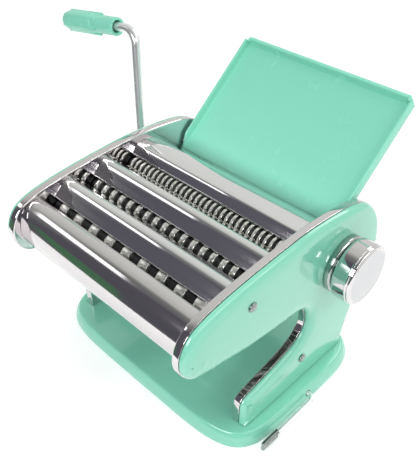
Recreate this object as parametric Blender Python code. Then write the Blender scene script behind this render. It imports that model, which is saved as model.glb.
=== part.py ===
# Hand-cranked pasta machine with three pairs of meshing cutters, two smooth rollers and a suction base.
# Metres, +Z up, +X towards the thickness knob, -Y towards the nose with the cutters.
# The origin is the centre of the suction pad's underside, on the table.
import bpy
import bmesh
from math import sin, cos, pi, radians
from mathutils import Vector, Matrix
from mathutils.geometry import intersect_line_line_2d

# Driving sizes of the whole machine
INNER_WIDTH = 0.160          # between the two side frames
RIM_WIDTH = 0.0056           # the chrome rim of a side frame, seen from above
NOSE_Y = -0.1143             # the nose's foremost point
NOSE_TO_WIDE = 0.0330        # along Y, to the middle of the wide pair
WIDE_TO_MIDDLE = 0.0335
MIDDLE_TO_FINE = 0.0357
FINE_TO_ROLLER = 0.0481
TAIL_REACH = 0.0190          # from the back roller's axis to the tail of a side
DECK_Z = 0.1253              # height of the wide pair's axes
MIDDLE_RISE = 0.0017         # the other axes' heights, from the wide pair's
FINE_RISE = 0.0037
ROLLER_DROP = 0.0183
CROWN_RISE = 0.0267          # from the wide pair's axes up to the crown of a side
CLEARANCE = 0.0003           # between pieces that touch
BEARING_GAP = 0.00045        # between a journal's corners and the flats of its faceted bearing
OVERRUN = 0.002              # how far a cutting tool runs past the wall that it cuts
SHEET = 0.001                # rolled steel sheet of the covers
FRAME_SHEET = 0.0012         # pressed steel of the side frames

# Suction base
BASE_MARGIN = 0.0120         # the base's half width stands out past the side covers
BASE_HALF_DEPTH = 0.0750
BASE_Y = -0.0052             # the middle of the base, forward of the suction plunger
BASE_HEIGHT = 0.0125
BASE_WALL = 0.002
BASE_CREASE = 0.0045         # how far the base's side draws in below its flat top
BASE_BULGE_HEIGHT = 0.0055   # the inner wall is upright up to here
BASE_CORNER_POWER = 5.5
BASE_POINTS = 40
PAD_RADIUS = 0.050
PAD_THICKNESS = 0.0016
PLATE_THICKNESS = 0.0012
PLUNGER_RADIUS = 0.020
PLUNGER_THICKNESS = 0.0014
EAR_THICKNESS = 0.002
EAR_LENGTH = 0.014
EAR_HEIGHT = 0.0034
LEVER_Y = -0.0015
LEVER_Z = 0.0070
LEVER_RADIUS = 0.0019
LEVER_BEND = 0.0045
LEVER_OUT = 0.0046           # from the base's widest point to the lever's middle line
LEVER_REACH = 0.042
LEVER_INNER = 0.012          # how far the shaft runs past the plunger's yoke
GRIP_PAD_LENGTH = 0.0165
GRIP_PAD_HEIGHT = 0.0085
GRIP_PAD_THICKNESS = 0.0024
GRIP_PAD_RIB = 0.0006
GRIP_PAD_RIBS = 10
GRIP_PAD_RIB_shares = ((0.0, 0.0), (0.3, 1.0), (0.7, 1.0))

# Cutters: each pair lies under a slot between two covers
CUTTER_RADIUS = 0.0083
CUTTER_ROOT = 0.0063
CUTTER_SPACING = CUTTER_RADIUS + CUTTER_ROOT + CLEARANCE
CUTTER_MARGIN = 0.005        # from the rings' zone to a side frame
JOURNAL_RADIUS = 0.0040
WIDE_PITCH = 0.0169
MIDDLE_PITCH = 0.00907
FINE_PITCH = 0.00495
WIDE_SLOT = 0.0086
MIDDLE_SLOT = 0.0116
FINE_SLOT = 0.0158
SLOT_RISE = 0.0102           # from a pair's axes up to the covers' edges beside it

# Smooth rollers
ROLLER_RADIUS = 0.0125
SHEET_GAP = 0.0026           # the widest setting
THINNEST_GAP = 0.0003
ROLLER_JOURNAL = 0.0049
BUSH_RADIUS = 0.0085
SOCKET_GAP = 0.0004           # around the crank's end in a shaft's socket
SOCKET_DEPTH = 0.00275
COLLAR_GAP = 0.0008          # between a roller's end and the side frame

# Gears, all on the crank's side
GEAR_WIDTH = 0.0046
ROLLER_GEAR_TEETH = 12
ROLLER_GEAR_DEPTH = 0.0021   # its teeth stand this far above and below the roller's radius
CUTTER_GEAR_TEETH = 8
CUTTER_GEAR_PROUD = 0.0002   # the teeth stand this far above the cutters' radius
TOOTH_TIP_SHARE = 0.20       # of the tooth pitch
TOOTH_ROOT_SHARE = 0.42

# Side covers
COVER_DEPTH = 0.0056
COVER_WALL = 0.0016
COVER_ROUND = 0.0036
SOCKET_HOLE_RADIUS = 0.0050
DRIVE_HOLE_RADIUS = 0.0078

# Thickness knob
KNOB_RADIUS = 0.0222
DIAL_RADIUS = 0.0217
DIAL_BORE = 0.0120
DIAL_DEPTH = 0.0052
KNOB_DEPTH = 0.0155
KNOB_NECK = 0.0175
KNOB_BEVEL = 0.0012
KNOB_LAND = 0.0020           # the raised ring round the knob's face
SPINDLE_RADIUS = 0.0050
SPINDLE_FLANGE = 0.0115
FLANGE_THICKNESS = 0.0014

# Crank
CRANK_ROD = 0.0036
CRANK_BEND = 0.0120
CRANK_STANDOFF = 0.0270      # from the cover's face to the arm's foot
CRANK_ARM = 0.1012
CRANK_SPLAY = radians(9.5)
CRANK_TURN = radians(9.1)
CRANK_PIN = 0.0820
GRIP_LENGTH = 0.0715
GRIP_RADIUS = 0.0093
GRIP_WALL_GAP = 0.0004
GRIP_START = 0.0217          # from the arm's middle line to the grip's mouth
GRIP_MOUTH_DEPTH = 0.0090    # a wide mouth, before the bore that the pin turns in

GRIP_MOUTH_share = 0.56
# The grip: plain collar, step up to the body and rounded tip, along its length and of its radius
GRIP_shares = ((0.0, 0.77), (0.015, 0.80), (0.24, 0.81), (0.395, 0.85), (0.41, 0.94), (0.62, 1.0),
               (0.86, 0.98), (0.95, 0.78), (0.99, 0.45), (1.0, 0.0))

# Tray
TRAY_MARGIN = 0.002          # from the tray's side to a side frame
TRAY_LENGTH = 0.107
TRAY_FLOOR = 0.0022
TRAY_WALL = 0.0020
TRAY_RIM = 0.0070
TRAY_SLOPE = radians(39.7)
TRAY_BEHIND = 0.0108         # its low mouth, behind and above the front roller's axis
TRAY_ABOVE = 0.0150
TRAY_TAPER = 0.006
TRAY_LIP = 0.0022
TRAY_EAR_LENGTH = 0.009
TRAY_EAR_REACH = 0.0068
TRAY_EAR_THICKNESS = 0.0018
TRAY_EAR_LIFT = 0.0004       # the ears lie this far above the floor's underside
# Height of the tray's walls and of its floor, from the low mouth to the lip
TRAY_MOUTH_WALL_share = 0.36
TRAY_RISING_WALL_share = 0.80
TRAY_LIP_WALL_shares = (0.94, 0.70)
TRAY_LIP_FLOOR_share = 0.70
TRAY_WALL_FOOT_share = 1.3   # a wall is thicker at its foot

# Fastenings
SCREW_HEAD = 0.0032
SCREW_SHANK = 0.0015
SCREW_DOME = 0.0016
SCREW_LENGTH = 0.0040
TIE_ROD_RADIUS = 0.0030
BLADE_THICKNESS = 0.0010
BLADE_HEIGHT = 0.0065

# Facets: sides of round pieces, and how far a straight stretch may leave the smooth outline
AXIS_SIDES = 8
BORE_SIDES = 12
ROLLER_SIDES = 20
KNOB_SIDES = 20
OUTLINE_STEPS = 4
OUTLINE_SLACK = 0.00035
BEND_STEPS = 5

# The side's outline, from the rear foot corner over the crown to the nose, and back under the arm and
# round the opening to the foot's front corner: shares of its length and height.
SIDE_OUTLINE_shares = (
    (0.857, 0.000), (0.863, 0.066), (0.893, 0.222), (0.944, 0.411), (0.995, 0.608), (1.000, 0.652),
    (0.997, 0.702), (0.982, 0.781), (0.951, 0.860), (0.911, 0.916), (0.860, 0.950), (0.794, 0.973),
    (0.682, 0.992), (0.570, 1.000), (0.428, 0.993), (0.266, 0.976), (0.154, 0.955), (0.093, 0.934),
    (0.052, 0.909), (0.024, 0.871), (0.005, 0.819), (0.000, 0.767), (0.005, 0.722), (0.019, 0.681),
    (0.042, 0.648), (0.080, 0.628), (0.154, 0.607), (0.286, 0.568), (0.423, 0.545), (0.509, 0.537),
    (0.563, 0.520), (0.598, 0.476), (0.614, 0.411), (0.607, 0.343), (0.570, 0.283), (0.509, 0.246),
    (0.401, 0.210), (0.316, 0.185), (0.287, 0.168), (0.274, 0.131), (0.272, 0.000))
# A cover between two slots: along its length, and up its crown
HUMP_shares = ((0.0, -0.15), (0.0, 0.0), (0.22, 0.45), (0.42, 0.88), (0.53, 1.0), (0.66, 0.90),
               (0.84, 0.50), (1.0, 0.12), (1.0, -0.11))
HUMP_RISE = 0.0080
# The nose cover: forward of the first slot, and above or below the slot's edge
NOSE_COVER_REACH = 0.0226
NOSE_COVER_DROP = 0.0312
NOSE_shares = ((0.0, -0.06), (0.0, 0.0), (0.08, 0.11), (0.27, 0.16), (0.50, 0.145), (0.77, 0.02),
               (0.93, -0.17), (1.0, -0.45), (0.94, -0.70), (0.75, -1.0))
# The feed cover behind the last slot: along its length, and above or below the slot's edge
FEED_COVER_LENGTH = 0.0446
FEED_COVER_DROP = 0.0112
FEED_shares = ((0.0, -0.12), (0.0, 0.0), (0.10, 0.46), (0.18, 0.56), (0.35, 0.53), (0.53, 0.28),
               (0.70, -0.12), (1.0, -1.0))
# The rear cover wraps the back roller
REAR_COVER_GAP = 0.0027
REAR_COVER_LIP = 0.0080
REAR_COVER_SKIRT = 0.0210
REAR_COVER_LEAN = 0.0076     # how far the skirt's lower edge draws in
REAR_COVER_STEPS = 7

MATERIALS = {
    "mint_enamel": ((0.30, 0.68, 0.51), 0.22, 0.0),
    "mint_plastic": ((0.34, 0.74, 0.57), 0.30, 0.0),
    "chrome": ((0.80, 0.80, 0.81), 0.07, 1.0),
    "steel_sheet": ((0.72, 0.72, 0.73), 0.18, 1.0),
    "cutter_steel": ((0.62, 0.62, 0.60), 0.28, 1.0),
    "gear_steel": ((0.45, 0.45, 0.46), 0.40, 1.0),
    "rubber": ((0.03, 0.03, 0.03), 0.80, 0.0),
}


def clear_scene():
    for obj in list(bpy.data.objects):
        bpy.data.objects.remove(obj)


def make_material(name):
    if name in bpy.data.materials:
        return bpy.data.materials[name]
    colour, roughness, metallic = MATERIALS[name]
    mat = bpy.data.materials.new(name)
    mat.use_nodes = True
    shader = mat.node_tree.nodes["Principled BSDF"]
    shader.inputs["Base Color"].default_value = (*colour, 1.0)
    shader.inputs["Roughness"].default_value = roughness
    shader.inputs["Metallic"].default_value = metallic
    return mat


SHARP_ANGLE = radians(32)


def add_piece(name, bm, material, place=(0, 0, 0), parent=None):
    """Turn a bmesh into a named object whose origin is at place, in world coordinates."""
    bmesh.ops.recalc_face_normals(bm, faces=bm.faces)
    bmesh.ops.translate(bm, verts=bm.verts, vec=-Vector(place))
    mesh = bpy.data.meshes.new(name)
    bm.to_mesh(mesh)
    bm.free()
    mesh.shade_smooth()
    mesh.set_sharp_from_angle(angle=SHARP_ANGLE)
    obj = bpy.data.objects.new(name, mesh)
    bpy.context.scene.collection.objects.link(obj)
    obj.location = place
    if material:
        mesh.materials.append(make_material(material))
    if parent:
        obj.parent = parent
        obj.location = Vector(place) - parent.location
    return obj


def add_pivot(name, place):
    """An empty on a joint's axis, which carries the pieces that turn or slide together."""
    pivot = bpy.data.objects.new(name, None)
    bpy.context.scene.collection.objects.link(pivot)
    pivot.location = place
    return pivot


def cut(piece, tool, union=False):
    """Boolean modifier; the tool is a guide that is left out of the model."""
    tool.hide_render = True
    tool.display_type = 'WIRE'
    modifier = piece.modifiers.new("cut", 'BOOLEAN')
    modifier.operation = 'UNION' if union else 'DIFFERENCE'
    modifier.solver = 'EXACT'
    modifier.object = tool


def loft(loops):
    """Closed solid through loops of equal count, capped at both ends."""
    bm = bmesh.new()
    rings = [[bm.verts.new(point) for point in loop] for loop in loops]
    count = len(rings[0])
    for low, high in zip(rings, rings[1:]):
        for i in range(count):
            j = (i + 1) % count
            bm.faces.new((low[i], low[j], high[j], high[i]))
    bm.faces.new(rings[0])
    bm.faces.new(rings[-1])
    return bm


def lathe(profile, sides, centre, phase=0.0):
    """Solid turned about the X line through centre (y, z); its (x, radius) profile ends on the axis."""
    bm = bmesh.new()
    rings = []
    for x, radius in profile:
        if radius == 0:
            rings.append([bm.verts.new((x, centre[0], centre[1]))])
            continue
        ring = []
        for i in range(sides):
            angle = phase + 2 * pi * i / sides
            ring.append(bm.verts.new((x, centre[0] + radius * sin(angle), centre[1] + radius * cos(angle))))
        rings.append(ring)
    for low, high in zip(rings, rings[1:]):
        for i in range(sides):
            j = (i + 1) % sides
            corners = [low[i % len(low)], low[j % len(low)], high[j % len(high)], high[i % len(high)]]
            bm.faces.new(list(dict.fromkeys(corners)))
    return bm


def ring_solid(profile, sides, centre):
    """Solid ring turned about the X line through centre; the profile is a closed loop off the axis."""
    bm = bmesh.new()
    rings = []
    for i in range(sides):
        angle = 2 * pi * i / sides
        rings.append([bm.verts.new((x, centre[0] + r * sin(angle), centre[1] + r * cos(angle)))
                      for x, r in profile])
    count = len(profile)
    for i in range(sides):
        low, high = rings[i], rings[(i + 1) % sides]
        for k in range(count):
            m = (k + 1) % count
            bm.faces.new((low[k], low[m], high[m], high[k]))
    return bm


def prism(outline, x_low, x_high):
    """Extrude a (y, z) outline along X."""
    return loft([[(x, y, z) for y, z in outline] for x in (x_low, x_high)])


def box(low, high):
    bm = bmesh.new()
    bmesh.ops.create_cube(bm, size=1.0)
    size = Vector(high) - Vector(low)
    middle = (Vector(high) + Vector(low)) / 2
    bmesh.ops.transform(bm, verts=bm.verts, matrix=Matrix.Translation(middle) @ Matrix.Diagonal((*size, 1.0)))
    return bm


def smooth_curve(points, steps):
    """Catmull-Rom curve through (y, z) points, with the given steps to a span."""
    curve = []
    last = len(points) - 1
    for i in range(last):
        p0, p1, p2, p3 = (Vector(points[max(0, min(last, i + k))]) for k in (-1, 0, 1, 2))
        for step in range(steps):
            t = step / steps
            curve.append(0.5 * ((2 * p1) + (p2 - p0) * t + (2 * p0 - 5 * p1 + 4 * p2 - p3) * t * t
                                + (3 * p1 - p0 - 3 * p2 + p3) * t * t * t))
    curve.append(Vector(points[last]))
    return curve


def simplify(points, slack):
    """Leave out points that lie within slack of the line drawn without them."""
    way = (points[-1] - points[0]).normalized()
    gaps = [abs(way.cross(point - points[0])) for point in points]
    far = gaps.index(max(gaps))
    if gaps[far] < slack:
        return [points[0], points[-1]]
    return simplify(points[:far + 1], slack)[:-1] + simplify(points[far:], slack)


SHARPEST_CORNER_share = 0.5


def normals_of(points, closed):
    """Unit normals on the left of a (y, z) polyline, lengthened at corners so an offset keeps its width."""
    result = []
    count = len(points)
    for i in range(count):
        before = points[(i - 1) % count] if closed or i > 0 else None
        after = points[(i + 1) % count] if closed or i < count - 1 else None
        sides = []
        for a, b in ((before, points[i]), (points[i], after)):
            if a is not None and b is not None:
                way = (Vector(b) - Vector(a)).normalized()
                sides.append(Vector((-way.y, way.x)))
        mean = sum(sides, Vector((0, 0))).normalized()
        result.append(mean / max(SHARPEST_CORNER_share, mean.dot(sides[0])))
    return result


def inset(outline, depth):
    """Offset a closed outline to its inside; the outline runs anticlockwise in (y, z)."""
    return [Vector(p) + n * depth for p, n in zip(outline, normals_of(outline, True))]


def sheet_outline(points, thickness, steps):
    """Closed outline of a bent sheet whose outer face follows the points."""
    outer = smooth_curve(points, steps)
    inner = [p + n * thickness for p, n in zip(outer, normals_of(outer, False))]
    return outer + inner[::-1]


def tube(path, radius, sides):
    """Round bar along a path; its first and last faces are square to it."""
    path = [Vector(p) for p in path]
    loops = []
    side = None
    for i, point in enumerate(path):
        ahead = (path[min(i + 1, len(path) - 1)] - point)
        behind = (point - path[max(i - 1, 0)])
        way = (ahead.normalized() + behind.normalized()).normalized()
        if side is None:
            side = way.orthogonal().normalized()
        side = (side - way * side.dot(way)).normalized()
        up = way.cross(side)
        turns = [2 * pi * k / sides for k in range(sides)]
        loops.append([point + side * (radius * cos(turn)) + up * (radius * sin(turn)) for turn in turns])
    return loft(loops)


def rounded_path(corners, radius, steps):
    """Straight runs joined by arcs of the given radius."""
    corners = [Vector(c) for c in corners]
    path = [corners[0]]
    for before, corner, after in zip(corners, corners[1:], corners[2:]):
        arrive = (before - corner).normalized()
        leave = (after - corner).normalized()
        half = arrive.angle(leave) / 2
        reach = radius / sin(half) * cos(half)
        middle = corner + (arrive + leave).normalized() * (radius / sin(half))
        start = corner + arrive * reach - middle
        end = corner + leave * reach - middle
        sweep = start.angle(end)
        for k in range(steps + 1):
            t = k / steps
            path.append(middle + (start * sin((1 - t) * sweep) + end * sin(t * sweep)) / sin(sweep))
    path.append(corners[-1])
    return path


# Places worked out from the driving sizes: across the machine
HALF = INNER_WIDTH / 2
PLATE_OUT = HALF + FRAME_SHEET
RIM_OUT = HALF + RIM_WIDTH
COVER_IN = RIM_OUT + CLEARANCE
COVER_OUT = COVER_IN + COVER_DEPTH
BASE_HALF_WIDTH = COVER_OUT + BASE_MARGIN
TRAY_WIDTH = INNER_WIDTH - 2 * TRAY_MARGIN
CUTTER_ZONE = HALF - CUTTER_MARGIN
ROLLER_END = HALF - COLLAR_GAP
GEAR_IN = PLATE_OUT + 2 * CLEARANCE + FRAME_SHEET
GEAR_OUT = GEAR_IN + GEAR_WIDTH
SPAN_END = HALF - CLEARANCE
SOCKET_RADIUS = CRANK_ROD + SOCKET_GAP
# Along the machine; the front roller, the knob and the crank share one axis
WIDE_Y = NOSE_Y + NOSE_TO_WIDE
MIDDLE_Y = WIDE_Y + WIDE_TO_MIDDLE
FINE_Y = MIDDLE_Y + MIDDLE_TO_FINE
ROLLER_Y = FINE_Y + FINE_TO_ROLLER
BACK_ROLLER_Y = ROLLER_Y + 2 * ROLLER_RADIUS + SHEET_GAP
ROLLER_TRAVEL = SHEET_GAP - THINNEST_GAP
SIDE_LENGTH = BACK_ROLLER_Y + TAIL_REACH - NOSE_Y
# Up from the table
FOOT_Z = BASE_HEIGHT + CLEARANCE
MIDDLE_Z = DECK_Z + MIDDLE_RISE
FINE_Z = DECK_Z + FINE_RISE
ROLLER_Z = DECK_Z - ROLLER_DROP
SIDE_HEIGHT = DECK_Z + CROWN_RISE - FOOT_Z
# Gears mesh at their shafts' distance
CUTTER_GEAR_TIP = CUTTER_RADIUS + CUTTER_GEAR_PROUD
CUTTER_GEAR_ROOT = CUTTER_SPACING - CUTTER_GEAR_TIP - CLEARANCE
ROLLER_GEAR_TIP = ROLLER_RADIUS + ROLLER_GEAR_DEPTH
ROLLER_GEAR_ROOT = ROLLER_RADIUS - ROLLER_GEAR_DEPTH
# Axes' place, ring pitch and sides of each pair of cutters
PAIRS = {
    "wide": (WIDE_Y, DECK_Z, WIDE_PITCH, 10),
    "middle": (MIDDLE_Y, MIDDLE_Z, MIDDLE_PITCH, 8),
    "fine": (FINE_Y, FINE_Z, FINE_PITCH, 6),
}


def side_outline():
    """Anticlockwise (y, z) outline of a side."""
    points = [(NOSE_Y + a * SIDE_LENGTH, FOOT_Z + b * SIDE_HEIGHT) for a, b in SIDE_OUTLINE_shares]
    return simplify(smooth_curve(points, OUTLINE_STEPS), OUTLINE_SLACK)


def mirror_left(bm):
    for vert in bm.verts:
        vert.co.x = -vert.co.x
    return bm


def inset_solid(levels, outline):
    """Solid through insets of one outline, each level being (x, inset)."""
    return loft([[(x, p[0], p[1]) for p in inset(outline, depth)] for x, depth in levels])


def slotted_tool(y, z, radius, travel, x_low, x_high, sides):
    """Cutting tool for a round hole, stretched along Y by travel."""
    loop = []
    for i in range(sides):
        angle = 2 * pi * (i + 0.5) / sides
        stretch = travel if sin(angle) > 0 else 0
        loop.append((y + radius * sin(angle) + stretch, z + radius * cos(angle)))
    return prism(loop, x_low, x_high)


def join_tools(name, tools):
    """One guide object from several separate cutting solids."""
    whole = bmesh.new()
    for tool in tools:
        bmesh.ops.recalc_face_normals(tool, faces=tool.faces)
        mesh = bpy.data.meshes.new(name)
        tool.to_mesh(mesh)
        tool.free()
        whole.from_mesh(mesh)
        bpy.data.meshes.remove(mesh)
    return add_piece(name, whole, None)


def cutter_axes():
    """(name, place, y, z) of the six cutter shafts, front shaft first in each pair."""
    axes = []
    for pair, (y, z, pitch, sides) in PAIRS.items():
        for place, way in (("front", -1), ("rear", 1)):
            axes.append((pair, place, y + way * CUTTER_SPACING / 2, z))
    return axes


# The side cover's rounded edge: below its face, and in from its outline
COVER_EDGE_shares = ((0.75, 0.0), (0.2, 0.3), (0.0, 1.0))
# A screw's dome: height and radius
SCREW_HEAD_shares = ((0.0, 1.0), (0.6, 0.8), (1.0, 0.35), (1.0, 0.0))
UPPER_SCREW_shares = (0.283, 0.851)
LEFT_UPPER_SCREW_shares = (0.253, 0.905)
LOWER_SCREW_shares = (0.585, 0.167)


def screw_places(way):
    upper = UPPER_SCREW_shares if way > 0 else LEFT_UPPER_SCREW_shares
    return [("upper", NOSE_Y + upper[0] * SIDE_LENGTH, FOOT_Z + upper[1] * SIDE_HEIGHT),
            ("lower", NOSE_Y + LOWER_SCREW_shares[0] * SIDE_LENGTH,
             FOOT_Z + LOWER_SCREW_shares[1] * SIDE_HEIGHT)]


def build_sides():
    outline = side_outline()
    for label, way in (("right", 1), ("left", -1)):
        frame_levels = ((HALF, 0), (RIM_OUT, 0), (RIM_OUT, FRAME_SHEET), (PLATE_OUT, FRAME_SHEET))
        frame = inset_solid(frame_levels, outline)
        roof = COVER_OUT - COVER_WALL
        cover_levels = [(roof, COVER_WALL), (COVER_IN, COVER_WALL), (COVER_IN, 0)]
        cover_levels += [(COVER_OUT - a * COVER_ROUND, b * COVER_ROUND) for a, b in COVER_EDGE_shares]
        cover = inset_solid(cover_levels, outline)
        if way < 0:
            mirror_left(frame)
            mirror_left(cover)
        frame = add_piece("side_frame_" + label, frame, "chrome")
        cover = add_piece("side_cover_" + label, cover, "mint_enamel")
        span = sorted((way * (HALF - OVERRUN), way * (PLATE_OUT + OVERRUN)))
        holes = [slotted_tool(y, z, JOURNAL_RADIUS + BEARING_GAP, 0, *span, AXIS_SIDES)
                 for pair, place, y, z in cutter_axes()]
        holes.append(slotted_tool(ROLLER_Y, ROLLER_Z, BUSH_RADIUS + BEARING_GAP, ROLLER_TRAVEL, *span,
                                  2 * AXIS_SIDES))
        holes.append(slotted_tool(BACK_ROLLER_Y, ROLLER_Z, ROLLER_JOURNAL + BEARING_GAP, 0, *span,
                                  AXIS_SIDES))
        cut(frame, join_tools("frame_holes_" + label, holes))
        span = sorted((way * (COVER_OUT - COVER_WALL - OVERRUN), way * (COVER_OUT + OVERRUN)))
        holes = [slotted_tool(y, z, SCREW_SHANK + CLEARANCE, 0, *span, AXIS_SIDES)
                 for name, y, z in screw_places(way)]
        if way > 0:
            holes.append(slotted_tool(ROLLER_Y, ROLLER_Z, SPINDLE_RADIUS + CLEARANCE, 0, *span, KNOB_SIDES))
        else:
            holes.append(slotted_tool(ROLLER_Y, ROLLER_Z, DRIVE_HOLE_RADIUS, ROLLER_TRAVEL, *span,
                                      ROLLER_SIDES))
            holes += [slotted_tool(y, z, SOCKET_HOLE_RADIUS, 0, *span, BORE_SIDES)
                      for pair, place, y, z in cutter_axes() if place == "front"]
        cut(cover, join_tools("cover_holes_" + label, holes))
        for name, y, z in screw_places(way):
            face = COVER_OUT + CLEARANCE
            head = [(face - SCREW_LENGTH, 0), (face - SCREW_LENGTH, SCREW_SHANK), (face, SCREW_SHANK)]
            head += [(face + a * SCREW_DOME, b * SCREW_HEAD) for a, b in SCREW_HEAD_shares]
            screw = lathe(head, AXIS_SIDES, (y, z))
            if way < 0:
                mirror_left(screw)
            add_piece("cover_screw_%s_%s" % (label, name), screw, "chrome")


def build_covers():
    """Rolled steel covers between the slots, the feed cover and the cover behind the rollers."""
    wide_edge = DECK_Z + SLOT_RISE
    middle_edge = MIDDLE_Z + SLOT_RISE
    fine_edge = FINE_Z + SLOT_RISE
    front = WIDE_Y - WIDE_SLOT / 2
    nose = [(front - a * NOSE_COVER_REACH, wide_edge + b * NOSE_COVER_DROP) for a, b in NOSE_shares]
    add_piece("nose_cover", prism(sheet_outline(nose, SHEET, 2), -SPAN_END, SPAN_END), "steel_sheet")
    humps = (("wide_slot_cover", WIDE_Y + WIDE_SLOT / 2, MIDDLE_Y - MIDDLE_SLOT / 2,
              wide_edge, middle_edge),
             ("middle_slot_cover", MIDDLE_Y + MIDDLE_SLOT / 2, FINE_Y - FINE_SLOT / 2,
              middle_edge, fine_edge))
    for name, start, end, low_edge, high_edge in humps:
        line = [(start + a * (end - start), low_edge + a * (high_edge - low_edge) + b * HUMP_RISE)
                for a, b in HUMP_shares]
        outline = sheet_outline(line[::-1], SHEET, 2)
        add_piece(name, prism(outline, -SPAN_END, SPAN_END), "steel_sheet")
    start = FINE_Y + FINE_SLOT / 2
    feed = [(start + a * FEED_COVER_LENGTH, fine_edge + b * FEED_COVER_DROP) for a, b in FEED_shares]
    add_piece("feed_cover", prism(sheet_outline(feed[::-1], SHEET, 2), -SPAN_END, SPAN_END), "steel_sheet")
    wrap = ROLLER_RADIUS + REAR_COVER_GAP
    rear = [(BACK_ROLLER_Y - REAR_COVER_LIP, ROLLER_Z + wrap)]
    for i in range(REAR_COVER_STEPS + 1):
        angle = pi / 2 * i / REAR_COVER_STEPS
        rear.append((BACK_ROLLER_Y + wrap * sin(angle), ROLLER_Z + wrap * cos(angle)))
    rear.append((BACK_ROLLER_Y + wrap - REAR_COVER_LEAN, ROLLER_Z - REAR_COVER_SKIRT))
    add_piece("rear_cover", prism(sheet_outline(rear[::-1], SHEET, 1), -SPAN_END, SPAN_END), "steel_sheet")


# The nose's tie rod lies before and below the wide pair, the rear one below the back roller
NOSE_ROD_AHEAD = 0.0157
NOSE_ROD_BELOW = 0.0165
REAR_ROD_BELOW = 0.0330
MIDDLE_ROD_shares = (0.630, 0.640)


def build_tie_rods():
    rods = (("nose", WIDE_Y - NOSE_ROD_AHEAD, DECK_Z - NOSE_ROD_BELOW),
            ("middle", NOSE_Y + MIDDLE_ROD_shares[0] * SIDE_LENGTH,
             FOOT_Z + MIDDLE_ROD_shares[1] * SIDE_HEIGHT),
            ("rear", BACK_ROLLER_Y, ROLLER_Z - REAR_ROD_BELOW))
    for name, *centre in rods:
        rod = ((-SPAN_END, 0), (-SPAN_END, TIE_ROD_RADIUS), (SPAN_END, TIE_ROD_RADIUS), (SPAN_END, 0))
        add_piece("tie_rod_" + name, lathe(rod, AXIS_SIDES, centre), "steel_sheet")


def ring_profile(pitch, count):
    """Profile of a cutter shaft: journals, collars, and rings one pitch apart."""
    width = pitch / 2 - CLEARANCE
    left_end = -(GEAR_IN - CLEARANCE)
    profile = [(left_end, 0), (left_end, JOURNAL_RADIUS),
               (-ROLLER_END, JOURNAL_RADIUS), (-ROLLER_END, CUTTER_ROOT)]
    for i in range(count):
        middle = (i - (count - 1) / 2) * pitch
        profile += [(middle - width / 2, CUTTER_ROOT), (middle - width / 2, CUTTER_RADIUS),
                    (middle + width / 2, CUTTER_RADIUS), (middle + width / 2, CUTTER_ROOT)]
    end = PLATE_OUT + FRAME_SHEET
    return profile + [(ROLLER_END, CUTTER_ROOT), (ROLLER_END, JOURNAL_RADIUS),
                      (end, JOURNAL_RADIUS), (end, 0)]


def gear_outline(teeth, tip, root, centre, phase):
    """Straight-sided teeth: phase 0 puts a tooth on +Y, phase 0.5 a gap."""
    outline = []
    pitch = 2 * pi / teeth
    for i in range(teeth):
        middle = (i + phase) * pitch
        for radius, share in ((root, -TOOTH_ROOT_SHARE), (tip, -TOOTH_TIP_SHARE),
                              (tip, TOOTH_TIP_SHARE), (root, TOOTH_ROOT_SHARE)):
            angle = middle + share * pitch / 2
            outline.append((centre[0] + radius * cos(angle), centre[1] + radius * sin(angle)))
    return outline


def socket_tool(name, y, z):
    """Cutting tool for the blind socket that the crank's end goes into."""
    socket = slotted_tool(y, z, SOCKET_RADIUS, 0, -GEAR_OUT - OVERRUN, -GEAR_OUT + SOCKET_DEPTH, AXIS_SIDES)
    return join_tools(name, [socket])


def build_cutters():
    for pair, place, y, z in cutter_axes():
        pitch, sides = PAIRS[pair][2:]
        fits = int(2 * CUTTER_ZONE / pitch + 0.5)
        count = fits + 1 if (fits % 2 == 0) else fits
        if place == "rear":
            count -= 1
        pivot = add_pivot("%s_cutter_%s_axis" % (pair, place), (0, y, z))
        shaft = lathe(ring_profile(pitch, count), sides, (y, z))
        add_piece("%s_cutter_%s" % (pair, place), shaft, "cutter_steel", (0, y, z), pivot)
        phase = 0 if place == "front" else 0.5
        outline = gear_outline(CUTTER_GEAR_TEETH, CUTTER_GEAR_TIP, CUTTER_GEAR_ROOT, (y, z), phase)
        gear = add_piece("%s_gear_%s" % (pair, place), prism(outline, -GEAR_OUT, -GEAR_IN), "gear_steel",
                         (0, y, z), pivot)
        if place == "front":
            cut(gear, socket_tool("%s_socket_cut" % pair, y, z))


def build_combs():
    """A stripping blade under each cutter shaft lifts the cut strands off the rings."""
    for pair, place, y, z in cutter_axes():
        top = z - CUTTER_RADIUS - CLEARANCE
        low = (-SPAN_END, y - BLADE_THICKNESS / 2, top - BLADE_HEIGHT)
        high = (SPAN_END, y + BLADE_THICKNESS / 2, top)
        add_piece("%s_comb_%s" % (pair, place), box(low, high), "steel_sheet")


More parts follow.
